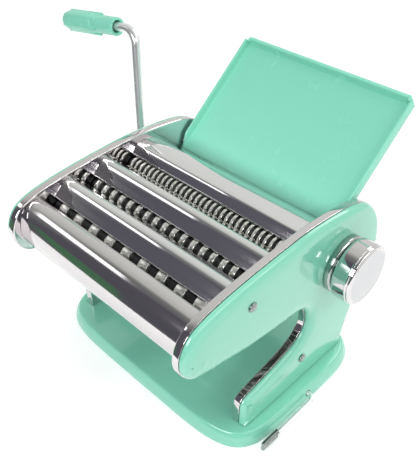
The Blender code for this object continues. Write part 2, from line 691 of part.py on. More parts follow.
def build_rollers():
    front = add_pivot("front_roller_axis", (0, ROLLER_Y, ROLLER_Z))
    back = add_pivot("back_roller_axis", (0, BACK_ROLLER_Y, ROLLER_Z))
    left_end = -(GEAR_IN - CLEARANCE)
    right_end = PLATE_OUT + FRAME_SHEET
    body = [(left_end, 0), (left_end, ROLLER_JOURNAL),
            (-ROLLER_END, ROLLER_JOURNAL), (-ROLLER_END, ROLLER_RADIUS),
            (ROLLER_END, ROLLER_RADIUS), (ROLLER_END, ROLLER_JOURNAL),
            (right_end, ROLLER_JOURNAL), (right_end, 0)]
    add_piece("front_roller", lathe(body, ROLLER_SIDES, (ROLLER_Y, ROLLER_Z)), "steel_sheet",
              (0, ROLLER_Y, ROLLER_Z), front)
    add_piece("back_roller", lathe(body, ROLLER_SIDES, (BACK_ROLLER_Y, ROLLER_Z)), "steel_sheet",
              (0, BACK_ROLLER_Y, ROLLER_Z), back)
    for name, y, phase, pivot in (("front_roller_gear", ROLLER_Y, 0, front),
                                  ("back_roller_gear", BACK_ROLLER_Y, 0.5, back)):
        outline = gear_outline(ROLLER_GEAR_TEETH, ROLLER_GEAR_TIP, ROLLER_GEAR_ROOT, (y, ROLLER_Z), phase)
        gear = add_piece(name, prism(outline, -GEAR_OUT, -GEAR_IN), "gear_steel", (0, y, ROLLER_Z), pivot)
        if pivot == front:
            cut(gear, socket_tool("drive_socket_cut", y, ROLLER_Z))
    for label, way in (("right", 1), ("left", -1)):
        inner = HALF - COLLAR_GAP + CLEARANCE
        outer = PLATE_OUT + CLEARANCE
        bush = ring_solid(((inner, ROLLER_JOURNAL + CLEARANCE), (outer, ROLLER_JOURNAL + CLEARANCE),
                           (outer, BUSH_RADIUS), (inner, BUSH_RADIUS)), 2 * AXIS_SIDES, (ROLLER_Y, ROLLER_Z))
        if way < 0:
            mirror_left(bush)
        add_piece("eccentric_bush_" + label, bush, "gear_steel")
    for name, y in (("front", ROLLER_Y), ("back", BACK_ROLLER_Y)):
        top = ROLLER_Z - ROLLER_RADIUS - CLEARANCE
        low = (-SPAN_END, y - BLADE_THICKNESS / 2, top - BLADE_HEIGHT)
        add_piece("roller_scraper_" + name, box(low, (SPAN_END, y + BLADE_THICKNESS / 2, top)), "steel_sheet")


def build_knob():
    centre = (ROLLER_Y, ROLLER_Z)
    ring_in = COVER_OUT + CLEARANCE
    ring_out = ring_in + DIAL_DEPTH
    dial = ring_solid(((ring_in, DIAL_BORE), (ring_in, DIAL_RADIUS), (ring_out - KNOB_BEVEL, DIAL_RADIUS),
                       (ring_out, DIAL_RADIUS - KNOB_BEVEL), (ring_out, DIAL_BORE)), KNOB_SIDES, centre)
    add_piece("dial_ring", dial, "chrome")
    pivot = add_pivot("knob_axis", (0, ROLLER_Y, ROLLER_Z))
    back = ring_out + CLEARANCE
    face = back + KNOB_DEPTH
    flange = PLATE_OUT + FRAME_SHEET + 2 * CLEARANCE
    bore_end = face - 2 * KNOB_LAND
    spindle = ((flange, 0), (flange, SPINDLE_FLANGE), (flange + FLANGE_THICKNESS, SPINDLE_FLANGE),
               (flange + FLANGE_THICKNESS, SPINDLE_RADIUS), (bore_end - CLEARANCE, SPINDLE_RADIUS),
               (bore_end - CLEARANCE, 0))
    add_piece("knob_spindle", lathe(spindle, KNOB_SIDES, centre), "gear_steel", (0, *centre), pivot)
    shoulder = KNOB_RADIUS - KNOB_BEVEL
    land = KNOB_RADIUS - KNOB_LAND
    knob = ((bore_end, 0), (bore_end, SPINDLE_RADIUS + CLEARANCE), (back, SPINDLE_RADIUS + CLEARANCE),
            (back, KNOB_NECK), (back + KNOB_BEVEL, KNOB_NECK), (back + 2 * KNOB_BEVEL, shoulder),
            (back + 3 * KNOB_BEVEL, KNOB_RADIUS), (face - 3 * KNOB_BEVEL, KNOB_RADIUS),
            (face - 2 * KNOB_BEVEL, KNOB_RADIUS - KNOB_BEVEL / 2), (face - KNOB_BEVEL, land),
            (face, land), (face, 0))
    add_piece("thickness_knob", lathe(knob, KNOB_SIDES, centre), "chrome", (0, *centre), pivot)


def crank_frame():
    """Foot and head of the crank's arm, and the way that its pin points."""
    foot = Vector((-(COVER_OUT + CRANK_STANDOFF), ROLLER_Y, ROLLER_Z))
    radial = Vector((0, sin(CRANK_TURN), cos(CRANK_TURN)))
    outward = Vector((-1, 0, 0))
    arm = radial * cos(CRANK_SPLAY) + outward * sin(CRANK_SPLAY)
    pin = outward * cos(CRANK_SPLAY) - radial * sin(CRANK_SPLAY)
    return foot, foot + arm * CRANK_ARM, pin


def build_crank():
    foot, head, pin = crank_frame()
    pivot = add_pivot("crank_axis", (0, ROLLER_Y, ROLLER_Z))
    start = Vector((-GEAR_OUT + SOCKET_DEPTH - CLEARANCE, ROLLER_Y, ROLLER_Z))
    path = rounded_path([start, foot, head, head + pin * CRANK_PIN], CRANK_BEND, BEND_STEPS)
    add_piece("crank_rod", tube(path, CRANK_ROD, 10), "chrome", (0, ROLLER_Y, ROLLER_Z), pivot)
    bore = CRANK_ROD + GRIP_WALL_GAP
    bore_end = CRANK_PIN - GRIP_START + 2 * CLEARANCE
    mouth = GRIP_MOUTH_share * GRIP_RADIUS
    profile = [(bore_end, 0), (bore_end, bore), (GRIP_MOUTH_DEPTH, bore), (GRIP_MOUTH_DEPTH, mouth), (0, mouth)]
    profile += [(a * GRIP_LENGTH, b * GRIP_RADIUS) for a, b in GRIP_shares]
    grip = lathe(profile, BORE_SIDES, (0, 0))
    place = head + pin * GRIP_START
    turn = Vector((1, 0, 0)).rotation_difference(pin).to_matrix().to_4x4()
    bmesh.ops.transform(grip, verts=grip.verts, matrix=Matrix.Translation(place) @ turn)
    grip_pivot = add_pivot("grip_axis", place)
    add_piece("crank_grip", grip, "mint_plastic", place, grip_pivot)


def tray_point(x, along, up):
    """A point of the tray's own frame: along its slope and up from its underside."""
    return Vector((x, ROLLER_Y + TRAY_BEHIND + along * cos(TRAY_SLOPE) - up * sin(TRAY_SLOPE),
                   ROLLER_Z + TRAY_ABOVE + along * sin(TRAY_SLOPE) + up * cos(TRAY_SLOPE)))


def ear_seat():
    """How far up the tray its ears start, so that they sit on the rims of the side frames."""
    low = tray_point(0, 0, TRAY_EAR_LIFT).yz
    high = tray_point(0, TRAY_LENGTH, TRAY_EAR_LIFT).yz
    rim = inset(side_outline(), -CLEARANCE)
    crossings = [intersect_line_line_2d(low, high, a, b) for a, b in zip(rim, rim[1:])]
    return max((crossing - low).length for crossing in crossings if crossing)


def build_tray():
    half = TRAY_WIDTH / 2
    foot = half - TRAY_WALL * TRAY_WALL_FOOT_share
    lip_walls = [share * TRAY_RIM for share in TRAY_LIP_WALL_shares]
    stations = ((0, TRAY_RIM * TRAY_MOUTH_WALL_share, TRAY_FLOOR),
                (TRAY_TAPER, TRAY_RIM * TRAY_RISING_WALL_share, TRAY_FLOOR),
                (2 * TRAY_TAPER, TRAY_RIM, TRAY_FLOOR), (TRAY_LENGTH - 2 * TRAY_LIP, TRAY_RIM, TRAY_FLOOR),
                (TRAY_LENGTH - TRAY_LIP, lip_walls[0], TRAY_FLOOR + TRAY_LIP),
                (TRAY_LENGTH, lip_walls[1], TRAY_FLOOR + TRAY_LIP * TRAY_LIP_FLOOR_share))
    loops = []
    for along, wall, floor in stations:
        section = ((-half, 0), (half, 0), (half, wall), (half - TRAY_WALL, wall), (foot, floor),
                   (-foot, floor), (-half + TRAY_WALL, wall), (-half, wall))
        loops.append([tray_point(x, along, up) for x, up in section])
    tray = add_piece("dough_tray", loft(loops), "mint_plastic")
    seat = ear_seat()
    ear_in, ear_out = half - TRAY_WALL / 2, half + TRAY_EAR_REACH
    ear_top = TRAY_EAR_LIFT + TRAY_EAR_THICKNESS
    for label, way in (("right", 1), ("left", -1)):
        section = ((ear_in, TRAY_EAR_LIFT), (ear_out, TRAY_EAR_LIFT), (ear_out, ear_top), (ear_in, ear_top))
        ear = loft([[tray_point(way * x, along, up) for x, up in section]
                    for along in (seat, seat + TRAY_EAR_LENGTH)])
        cut(tray, add_piece("tray_ear_" + label, ear, None), union=True)


# The base's side: up its height, and in by its crease, from the lower outer edge over the crease to the top
BASE_shares = ((0.0, 0.0), (0.44, 0.0), (0.72, 0.28), (0.90, 0.75), (0.97, 1.0), (1.0, 1.8))


def disc(y, z_low, z_high, radius_low, radius_high, sides):
    """Upright round solid, which may taper."""
    return loft([[(r * cos(2 * pi * i / sides), y + r * sin(2 * pi * i / sides), z) for i in range(sides)]
                 for z, r in ((z_low, radius_low), (z_high, radius_high))])


def base_loop(z, draw_in):
    """Rounded rectangle with bowed sides."""
    loop = []
    for i in range(BASE_POINTS):
        angle = 2 * pi * (i + 0.5) / BASE_POINTS
        power = BASE_CORNER_POWER
        reach = (abs(cos(angle)) ** power + abs(sin(angle)) ** power) ** (-1 / power)
        loop.append(((BASE_HALF_WIDTH - draw_in) * reach * cos(angle),
                     BASE_Y + (BASE_HALF_DEPTH - draw_in) * reach * sin(angle), z))
    return loop


def build_base():
    roof = (BASE_HEIGHT - BASE_WALL, BASE_CREASE + 2 * BASE_WALL)
    levels = [roof, (BASE_BULGE_HEIGHT, BASE_WALL), (0, BASE_WALL)]
    levels += [(a * BASE_HEIGHT, b * BASE_CREASE) for a, b in BASE_shares]
    base = add_piece("base_shell", loft([base_loop(z, draw_in) for z, draw_in in levels]), "mint_enamel")
    hole = slotted_tool(LEVER_Y, LEVER_Z, LEVER_RADIUS + CLEARANCE, 0, BASE_HALF_WIDTH - roof[1] - BASE_WALL,
                        BASE_HALF_WIDTH + OVERRUN, AXIS_SIDES)
    cut(base, join_tools("lever_hole", [hole]))
    pad = disc(LEVER_Y, 0, PAD_THICKNESS, PAD_RADIUS, PAD_RADIUS - PAD_THICKNESS, KNOB_SIDES)
    add_piece("suction_pad", pad, "rubber")
    plate_low = PAD_THICKNESS + CLEARANCE
    plate = loft([base_loop(z, BASE_WALL + CLEARANCE) for z in (plate_low, plate_low + PLATE_THICKNESS)])
    plate = add_piece("base_plate", plate, "gear_steel")
    bore = PLUNGER_RADIUS + CLEARANCE
    cut(plate, add_piece("plunger_hole", disc(LEVER_Y, 0, BASE_HEIGHT, bore, bore, KNOB_SIDES), None))
    pivot = add_pivot("plunger_axis", (0, LEVER_Y, 0))
    plunger_top = plate_low + PLUNGER_THICKNESS
    plunger = disc(LEVER_Y, plate_low, plunger_top, PLUNGER_RADIUS, PLUNGER_RADIUS, KNOB_SIDES)
    plunger = add_piece("suction_plunger", plunger, "gear_steel", (0, LEVER_Y, 0), pivot)
    for label, way in (("front", -1), ("rear", 1)):
        near = LEVER_Y + way * (LEVER_RADIUS + 2 * CLEARANCE)
        far = near + way * EAR_THICKNESS
        ear = box((-EAR_LENGTH / 2, min(near, far), plunger_top - CLEARANCE),
                  (EAR_LENGTH / 2, max(near, far), plunger_top + EAR_HEIGHT))
        cut(plunger, add_piece("plunger_ear_" + label, ear, None), union=True)


def build_lever():
    pivot = add_pivot("lever_axis", (0, LEVER_Y, LEVER_Z))
    out = BASE_HALF_WIDTH + LEVER_OUT
    path = rounded_path([(-LEVER_INNER, LEVER_Y, LEVER_Z), (out, LEVER_Y, LEVER_Z),
                         (out, LEVER_Y - LEVER_REACH, LEVER_Z)], LEVER_BEND, BEND_STEPS)
    add_piece("suction_lever", tube(path, LEVER_RADIUS, AXIS_SIDES), "chrome", (0, LEVER_Y, LEVER_Z), pivot)
    start = LEVER_Y - LEVER_REACH - CLEARANCE
    low = LEVER_Z - GRIP_PAD_HEIGHT / 2
    inner = out - GRIP_PAD_THICKNESS / 2
    face = [(inner, start), (inner, start - GRIP_PAD_LENGTH)]
    step = GRIP_PAD_LENGTH / GRIP_PAD_RIBS
    for i in range(GRIP_PAD_RIBS):
        edge = start - GRIP_PAD_LENGTH + i * step
        face += [(inner + GRIP_PAD_THICKNESS + b * GRIP_PAD_RIB, edge + a * step)
                 for a, b in GRIP_PAD_RIB_shares]
    face.append((inner + GRIP_PAD_THICKNESS, start))
    pad = loft([[(x, y, z) for x, y in face] for z in (low, low + GRIP_PAD_HEIGHT)])
    add_piece("lever_grip_pad", pad, "chrome", (0, LEVER_Y, LEVER_Z), pivot)


clear_scene()
build_base()
build_lever()
build_sides()
build_covers()
build_tie_rods()
build_cutters()
build_combs()
build_rollers()
build_knob()
build_crank()
build_tray()
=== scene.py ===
# %% [markdown]
# # A hand-cranked pasta machine in mint enamel and chrome
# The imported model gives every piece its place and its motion, so it is loaded first and nothing in it is
# moved. Each visible piece is then made again, finer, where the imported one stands, and rides on the same
# body.

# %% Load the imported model
from math import sin, cos, pi, radians, sqrt, hypot
import bpy
import bmesh
from mathutils import Vector, Matrix


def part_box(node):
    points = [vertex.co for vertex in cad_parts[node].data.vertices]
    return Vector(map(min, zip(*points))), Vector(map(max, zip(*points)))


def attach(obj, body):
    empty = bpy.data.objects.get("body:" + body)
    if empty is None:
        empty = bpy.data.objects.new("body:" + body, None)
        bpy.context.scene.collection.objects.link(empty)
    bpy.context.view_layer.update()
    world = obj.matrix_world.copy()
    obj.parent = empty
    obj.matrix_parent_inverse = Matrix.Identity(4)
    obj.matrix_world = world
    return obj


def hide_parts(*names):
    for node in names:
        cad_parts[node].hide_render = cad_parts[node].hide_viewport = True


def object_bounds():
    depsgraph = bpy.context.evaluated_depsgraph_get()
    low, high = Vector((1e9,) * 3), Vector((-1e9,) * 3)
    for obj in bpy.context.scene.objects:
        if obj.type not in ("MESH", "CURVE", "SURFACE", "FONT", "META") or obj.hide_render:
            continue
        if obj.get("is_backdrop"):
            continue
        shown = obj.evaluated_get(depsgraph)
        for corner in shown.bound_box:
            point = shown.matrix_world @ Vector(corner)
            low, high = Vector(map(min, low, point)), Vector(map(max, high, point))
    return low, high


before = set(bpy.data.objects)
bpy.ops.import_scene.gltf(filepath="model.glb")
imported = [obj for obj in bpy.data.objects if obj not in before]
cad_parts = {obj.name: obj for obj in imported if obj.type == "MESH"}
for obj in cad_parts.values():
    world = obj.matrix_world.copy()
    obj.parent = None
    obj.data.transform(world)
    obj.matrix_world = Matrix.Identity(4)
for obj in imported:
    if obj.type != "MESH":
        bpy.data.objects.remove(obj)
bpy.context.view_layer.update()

# %% [markdown]
# ## Camera
# The photograph was taken from the knob's side, about 39 degrees above the table. A camera's place and lens
# can be guessed by eye, but here they come from the machine's straight edges: lines that are parallel on the
# machine meet at far points of the picture, and those give the lens and the angles.

# %% Camera
CAMERA_PLACE = Vector((0.26663, -0.27288, 0.40952))
CAMERA_AZIMUTH = radians(44.613)
CAMERA_ELEVATION = radians(38.925)
CAMERA_ROLL = radians(-0.277)
FOCAL_LENGTH_MM = 50.96
SENSOR_LONG_SIDE_MM = 36.0
LENS_SHIFT = (0.0011, 0.0018)
NEAREST_SEEN = 0.01


def make_camera():
    data = bpy.data.cameras.new("photograph_camera")
    data.lens = FOCAL_LENGTH_MM
    data.sensor_width = SENSOR_LONG_SIDE_MM
    data.shift_x, data.shift_y = LENS_SHIFT
    data.clip_start = NEAREST_SEEN
    camera = bpy.data.objects.new("photograph_camera", data)
    bpy.context.scene.collection.objects.link(camera)
    flat = cos(CAMERA_ELEVATION)
    back = Vector((sin(CAMERA_AZIMUTH) * flat, -cos(CAMERA_AZIMUTH) * flat, sin(CAMERA_ELEVATION)))
    camera.rotation_mode = "QUATERNION"
    level = (-back).to_track_quat("-Z", "Y")
    camera.rotation_quaternion = level @ Matrix.Rotation(CAMERA_ROLL, 3, "Z").to_quaternion()
    camera.location = CAMERA_PLACE
    bpy.context.scene.camera = camera


make_camera()
print("Camera at", tuple(round(v, 3) for v in CAMERA_PLACE), "with a", FOCAL_LENGTH_MM, "mm lens")

# %% [markdown]
# ## Studio
# Chrome shows nothing but its surroundings, so a chrome machine needs a room that is worth seeing. A plain
# room of one brightness would turn every polished cover into flat grey. Here the room is dark in front of
# the machine at every height, with a green cloth low on the left, and the covers' front slopes turn dark
# where they see it. Towards the back the room grows paler, and soft boxes draw the bright lines along the
# crests.

# %% World
DARK_FRONT = (0.112, 0.109, 0.130, 1)
GREEN_CLOTH = (0.085, 0.200, 0.110, 1)
# Brightness of the room from front to back, as (Y of the direction, colour)
ROOM_STOPS = ((-0.52, DARK_FRONT), (-0.46, (0.16, 0.16, 0.17, 1)), (-0.24, (0.26, 0.27, 0.26, 1)),
              (-0.02, (0.66, 0.68, 0.64, 1)), (0.50, (0.80, 0.82, 0.78, 1)), (0.90, (0.84, 0.86, 0.83, 1)))


# Edges of the cloth, as (axis of the direction, where it begins, where it is full)
CLOTH_EDGES = (("X", -0.53, -0.555), ("Y", -0.52, -0.58), ("Z", -0.02, -0.06))


def wire(tree, node, **values):
    """Set a node. A name in small letters is a setting, any other an input: a value, or an output to link."""
    for name, value in values.items():
        if name.islower():
            setattr(node, name, value)
        elif isinstance(value, bpy.types.NodeSocket):
            tree.links.new(value, node.inputs[name.replace("_", " ")])
        else:
            node.inputs[name.replace("_", " ")].default_value = value
    return node


def new_node(tree, kind, **values):
    return wire(tree, tree.nodes.new(kind), **values)


def maths(tree, operation, a, b):
    """Output of a maths node, whose two inputs have one name and so are told apart by place."""
    node = new_node(tree, "ShaderNodeMath", operation=operation)
    for socket, value in zip(node.inputs, (a, b)):
        if isinstance(value, bpy.types.NodeSocket):
            tree.links.new(value, socket)
        else:
            socket.default_value = value
    return node.outputs[0]


def make_world():
    world = bpy.data.worlds.new("studio_room")
    bpy.context.scene.world = world
    world.use_nodes = True
    tree = world.node_tree
    tree.nodes.clear()
    direction = new_node(tree, "ShaderNodeTexCoord")
    split = new_node(tree, "ShaderNodeSeparateXYZ", Vector=direction.outputs["Generated"])
    along = new_node(tree, "ShaderNodeMapRange", Value=split.outputs["Y"], From_Min=-1.0, From_Max=1.0)
    room = new_node(tree, "ShaderNodeValToRGB", Fac=along.outputs["Result"])
    stops = room.color_ramp.elements
    for _ in ROOM_STOPS[2:]:
        stops.new(1.0)
    for stop, (place, colour) in zip(stops, ROOM_STOPS):
        stop.position = (place + 1) / 2
        stop.color = colour
    # the nose of the machine shows the cloth
    cloth = 1.0
    for axis, outside, inside in CLOTH_EDGES:
        edge = new_node(tree, "ShaderNodeMapRange", Value=split.outputs[axis], From_Min=outside,
                        From_Max=inside)
        cloth = maths(tree, "MULTIPLY", cloth, edge.outputs["Result"])
    mix = new_node(tree, "ShaderNodeMix", data_type="RGBA", Factor=cloth, A=room.outputs["Color"],
                   B=GREEN_CLOTH)
    background = new_node(tree, "ShaderNodeBackground", Color=mix.outputs["Result"])
    new_node(tree, "ShaderNodeOutputWorld", Surface=background.outputs["Background"])


make_world()
bpy.context.scene.view_settings.view_transform = "Standard"
print("The room has", len(ROOM_STOPS), "steps of brightness from front to back")

# %% Soft boxes and floor
AIM = Vector((0.0, -0.02, 0.10))
SOFT_BOXES = {
    # name: direction from the machine, distance, width along X, height, watts
    "key_box": (Vector((0.15, -0.85, 0.52)), 1.20, 0.70, 0.50, 9.4),
    "crest_box": (Vector((-0.877, -0.486, 0.776)), 1.268, 0.62, 0.19, 0.66),
    "edge_box": (Vector((0.75, 0.05, 0.60)), 1.10, 0.10, 1.30, 3.0),
    "top_box": (Vector((0.10, 0.75, 0.65)), 1.30, 0.60, 0.40, 2.8),
}


def make_soft_box(name, way, distance, width, height, watts):
    light = bpy.data.lights.new(name, "AREA")
    light.shape = "RECTANGLE"
    light.size = width
    light.size_y = height
    light.energy = watts
    lamp = bpy.data.objects.new(name, light)
    bpy.context.scene.collection.objects.link(lamp)
    way = way.normalized()
    lamp.location = AIM + way * distance
    lamp.rotation_mode = "QUATERNION"
    right = Vector((1, 0, 0)) - way * way.x
    up = way.cross(right.normalized())
    lamp.rotation_quaternion = Matrix((right.normalized(), up, way)).transposed().to_quaternion()


for name, box in SOFT_BOXES.items():
    make_soft_box(name, *box)

FLOOR_HALF = 3.0
FLOOR_FRONT = (0.50, -1.20)  # Y of the paper's slanting front edge at -X and +X, which only the nose shows
FLOOR_WHITE = (0.93, 0.93, 0.93, 1)
FLOOR_GLOW = 0.32            # added where the paper is looked at, straight or in chrome, so that it is white


def make_floor():
    mesh = bpy.data.meshes.new("studio_floor")
    corners = [(-FLOOR_HALF, FLOOR_FRONT[0], 0), (FLOOR_HALF, FLOOR_FRONT[1], 0),
               (FLOOR_HALF, FLOOR_HALF, 0), (-FLOOR_HALF, FLOOR_HALF, 0)]
    mesh.from_pydata(corners, [], [(0, 1, 2, 3)])
    floor = bpy.data.objects.new("studio_floor", mesh)
    bpy.context.scene.collection.objects.link(floor)
    paper = bpy.data.materials.new("floor_paper")
    paper.use_nodes = True
    tree = paper.node_tree
    path = new_node(tree, "ShaderNodeLightPath")
    mirrored = maths(tree, "ADD", path.outputs["Is Glossy Ray"], path.outputs["Is Transmission Ray"])
    looked_at = maths(tree, "ADD", path.outputs["Is Camera Ray"], mirrored)
    looked_at.node.use_clamp = True
    wire(tree, tree.nodes["Principled BSDF"], Base_Color=FLOOR_WHITE, Roughness=1.0, Specular_IOR_Level=0.0,
         Emission_Color=(1, 1, 1, 1), Emission_Strength=maths(tree, "MULTIPLY", looked_at, FLOOR_GLOW))
    mesh.materials.append(paper)
    floor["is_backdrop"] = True


make_floor()
print(len(SOFT_BOXES), "soft boxes and a floor", 2 * FLOOR_HALF, "m square")

# %% [markdown]
# ## Finishes
# Every finish is a Principled shader whose roughness and height come from noise, because no real surface is
# even. The noise reads Object coordinates, which are metres here, so a scale of 1000 has a grain of about a
# millimetre. An image of scratches would do the same, but it would need an unwrapped mesh and would repeat.

# %% Finish helper
def stretched_noise(tree, scale, detail=3.0):
    """Noise in Object coordinates, with one scale for all axes or one for each."""
    if isinstance(scale, int):
        scale = (scale, scale, scale)
    place = new_node(tree, "ShaderNodeTexCoord")
    mapping = new_node(tree, "ShaderNodeMapping", Vector=place.outputs["Object"], Scale=scale)
    noise = new_node(tree, "ShaderNodeTexNoise", Vector=mapping.outputs["Vector"], Scale=1.0, Detail=detail,
                     Roughness=0.55)
    return noise.outputs["Fac"]


def spread(tree, value, low, high):
    """Bring a noise's middle range out to low and high."""
    return new_node(tree, "ShaderNodeMapRange", Value=value, From_Min=0.32, From_Max=0.68, To_Min=low,
                    To_Max=high).outputs["Result"]


def make_finish(name, colour, rough, metallic=0.0, coat=0.0, shade=0.05, tint_scale=14, rough_scale=60,
                grain=900, bump=0.02, depth=0.0001):
    """A finish: colour that drifts by shade, roughness between two values, and a fine height."""
    finish = bpy.data.materials.new(name)
    finish.use_nodes = True
    tree = finish.node_tree
    darker = (*[c * (1 - shade) for c in colour], 1)
    paler = (*[min(1.0, c * (1 + shade)) for c in colour], 1)
    drift = spread(tree, stretched_noise(tree, tint_scale), 0.0, 1.0)
    tint = new_node(tree, "ShaderNodeMix", data_type="RGBA", Factor=drift, A=darker, B=paler)
    height = new_node(tree, "ShaderNodeBump", Strength=bump, Distance=depth,
                      Height=stretched_noise(tree, grain, 2.0))
    wire(tree, tree.nodes["Principled BSDF"], Metallic=metallic, Coat_Weight=coat, Coat_Roughness=0.03,
         Base_Color=tint.outputs["Result"], Normal=height.outputs["Normal"],
         Roughness=spread(tree, stretched_noise(tree, rough_scale), *rough))
    print("Finish", name)
    return finish


# %% [markdown]
# ### Enamel and plastic
# The sides and the base are sprayed and stoved enamel: a hard gloss with a faint orange-peel ripple a few
# millimetres wide, so its highlights have slightly soft edges. The tray and the grip are moulded plastic of
# the same colour, a little lighter and softer in gloss.

# %% Enamel and plastic
MINT = (0.232, 0.655, 0.492)
MINT_LIGHT = (0.275, 0.765, 0.585)
enamel = make_finish("mint_enamel", MINT, (0.10, 0.16), coat=0.55, shade=0.008, rough_scale=35,
                     grain=320, bump=0.06, depth=0.00012)
plastic = make_finish("mint_plastic", MINT_LIGHT, (0.24, 0.28), shade=0.008, rough_scale=50,
                      grain=1400, bump=0.04, depth=0.00006)

# %% [markdown]
# ### Chrome and steel
# The side frames and the knob are chrome plated, almost a mirror with a haze of handling, and the drawn rods
# of the crank and the lever mirror less sharply. The ring under the knob and the ribs of the thumb pad are a
# duller chrome, and the pad and the screws a dark nickel. The covers are rolled and polished along their
# length, so their faint scratches run along X: the noise is stretched that way. The nose's cover faces the
# light most, so its steel is painted darker than the other covers' to hold back its brightness: painted shade.
# Cutters and rollers are turned on a lathe, and their marks run round them, at right angles to the covers'.
# The shafts, combs, scrapers and the strips in the frames' joints get a near-black steel, painted shade that
# makes the gaps between parts read black.

# %% Chrome and steel
chrome = make_finish("chrome", (0.69, 0.655, 0.67), (0.035, 0.085), metallic=1.0, shade=0.015,
                     rough_scale=70, grain=260, bump=0.02, depth=0.00008)
dull_chrome = make_finish("dull_chrome", (0.46, 0.48, 0.47), (0.08, 0.14), metallic=1.0, shade=0.03,
                          grain=300, bump=0.02, depth=0.00005)
dark_nickel = make_finish("dark_nickel", (0.30, 0.33, 0.32), (0.10, 0.18), metallic=1.0, shade=0.04,
                          grain=300, bump=0.03, depth=0.00005)
rod_chrome = make_finish("drawn_rod_chrome", (0.84, 0.84, 0.85), (0.20, 0.28), metallic=0.72, shade=0.02,
                         grain=(1400, 1400, 40), bump=0.03, depth=0.00004)
satin_face = make_finish("satin_chrome", (0.60, 0.59, 0.61), (0.30, 0.36), metallic=1.0, shade=0.01,
                         grain=(60, 1200, 1200), bump=0.02, depth=0.00002)
rolled = dict(metallic=1.0, shade=0.03, tint_scale=(6, 60, 60), rough_scale=(9, 700, 700),
              grain=(18, 1900, 1900), bump=0.05, depth=0.00004)
cover_steel = make_finish("polished_cover_steel", (0.76, 0.75, 0.76), (0.07, 0.13), **rolled)
# The nose cover's steel is darker than the other covers': painted shade against the light that it faces.
nose_painted_darker = make_finish("nose_cover_painted_darker_steel", (0.64, 0.615, 0.625), (0.07, 0.13), **rolled)
cutter_steel = make_finish("turned_cutter_steel", (0.82, 0.82, 0.78), (0.26, 0.38), metallic=1.0, shade=0.06,
                           rough_scale=(900, 40, 40), grain=(3600, 30, 30), bump=0.10, depth=0.00005)
roller_steel = make_finish("ground_roller_steel", (0.66, 0.66, 0.66), (0.16, 0.26), metallic=1.0, shade=0.04,
                           rough_scale=(800, 30, 30), grain=(3200, 24, 24), bump=0.08, depth=0.00004)
gear_steel = make_finish("sintered_gear_steel", (0.34, 0.34, 0.35), (0.36, 0.52), metallic=1.0, shade=0.10,
                         tint_scale=160, grain=2400, bump=0.18, depth=0.00006)
plate_steel = make_finish("zinc_plate_steel", (0.50, 0.51, 0.53), (0.30, 0.45), metallic=1.0, shade=0.10,
                          tint_scale=90, grain=1500, bump=0.10, depth=0.00006)
# Near-black steel for the cutter shafts, combs, scrapers and the frames' joint strips: painted shade, so that
# the gaps between parts read black.
painted_shade_steel = make_finish("painted_shade_black_steel", (0.035, 0.036, 0.038), (0.30, 0.50), metallic=0.6, shade=0.20,
                          tint_scale=120, grain=(900, 60, 60), bump=0.10, depth=0.00005)
rubber = make_finish("pad_rubber", (0.020, 0.020, 0.021), (0.55, 0.75), shade=0.15,
                     grain=1700, bump=0.25, depth=0.00008)

# %% [markdown]
# ## Shaping helpers
# Nearly every piece here is one of three forms: a line turned about an axis, an outline drawn out and
# rounded at its rim, or a round bar bent along a path. Each form gets one helper that builds closed loops of
# points and joins them with faces, which keeps the faces in rows and the highlights straight.

# %% Lines and outlines
SHORTEST = 1e-7          # points closer than this are one


def smooth_curve(points, steps):
    """Catmull-Rom curve through flat points."""
    curve = []
    last = len(points) - 1
    for i in range(last):
        p0, p1, p2, p3 = (Vector(points[max(0, min(last, i + k))]) for k in (-1, 0, 1, 2))
        for step in range(steps):
            t = step / steps
            curve.append(0.5 * ((2 * p1) + (p2 - p0) * t + (2 * p0 - 5 * p1 + 4 * p2 - p3) * t * t
                                + (3 * p1 - p0 - 3 * p2 + p3) * t * t * t))
    curve.append(Vector(points[last]))
    return curve


def soften(points, radius, steps=4, closed=True):
    """Round each corner of a flat outline, by no more than its sides leave room for."""
    result = []
    count = len(points)
    for i, corner in enumerate(points):
        corner = Vector(corner)
        if not closed and i in (0, count - 1):
            result.append(corner)
            continue
        before = Vector(points[i - 1]) - corner
        after = Vector(points[(i + 1) % count]) - corner
        reach = min(radius, before.length * 0.45, after.length * 0.45)
        start, end = corner + before.normalized() * reach, corner + after.normalized() * reach
        for k in range(steps + 1):
            t = k / steps
            result.append(start * (1 - t) ** 2 + corner * 2 * t * (1 - t) + end * t * t)
    return result


def left_normals(points, closed=True):
    """Unit normals on the left of a line, lengthened at corners so that an offset keeps its width."""
    result = []
    count = len(points)
    for i, point in enumerate(points):
        ways = []
        for a, b in ((i - 1, i), (i, i + 1)):
            if closed or (a >= 0 and b < count):
                way = (points[b % count] - points[a % count]).normalized()
                ways.append(Vector((-way.y, way.x)))
        mean = sum(ways, Vector((0, 0))).normalized()
        result.append(mean / max(0.5, mean.dot(ways[0])))
    return result


def room_inside(points, normals):
    """Radius of the largest disc that touches an outline from inside, at each of its points."""
    rooms = []
    for point, normal in zip(points, normals):
        best = 1.0
        for other in points:
            gap = other - point
            ahead = gap.dot(normal)
            if ahead > 1e-6:
                best = min(best, gap.length_squared / (2 * ahead))
        rooms.append(best)
    return rooms


# %% Solids from loops
def loft(loops, cap_start=True, cap_end=True):
    """Skin through loops of equal count."""
    bm = bmesh.new()
    rings = [[bm.verts.new(point) for point in loop] for loop in loops]
    count = len(rings[0])
    for low, high in zip(rings, rings[1:]):
        for i in range(count):
            j = (i + 1) % count
            bm.faces.new((low[i], low[j], high[j], high[i]))
    if cap_start:
        bm.faces.new(rings[0])
    if cap_end:
        bm.faces.new(rings[-1])
    return bm


def closed_loft(loops):
    """Skin through loops and back to the first one, as round a ring."""
    bm = loft(loops + loops[:1], False, False)
    bmesh.ops.remove_doubles(bm, verts=bm.verts, dist=SHORTEST)
    return bm


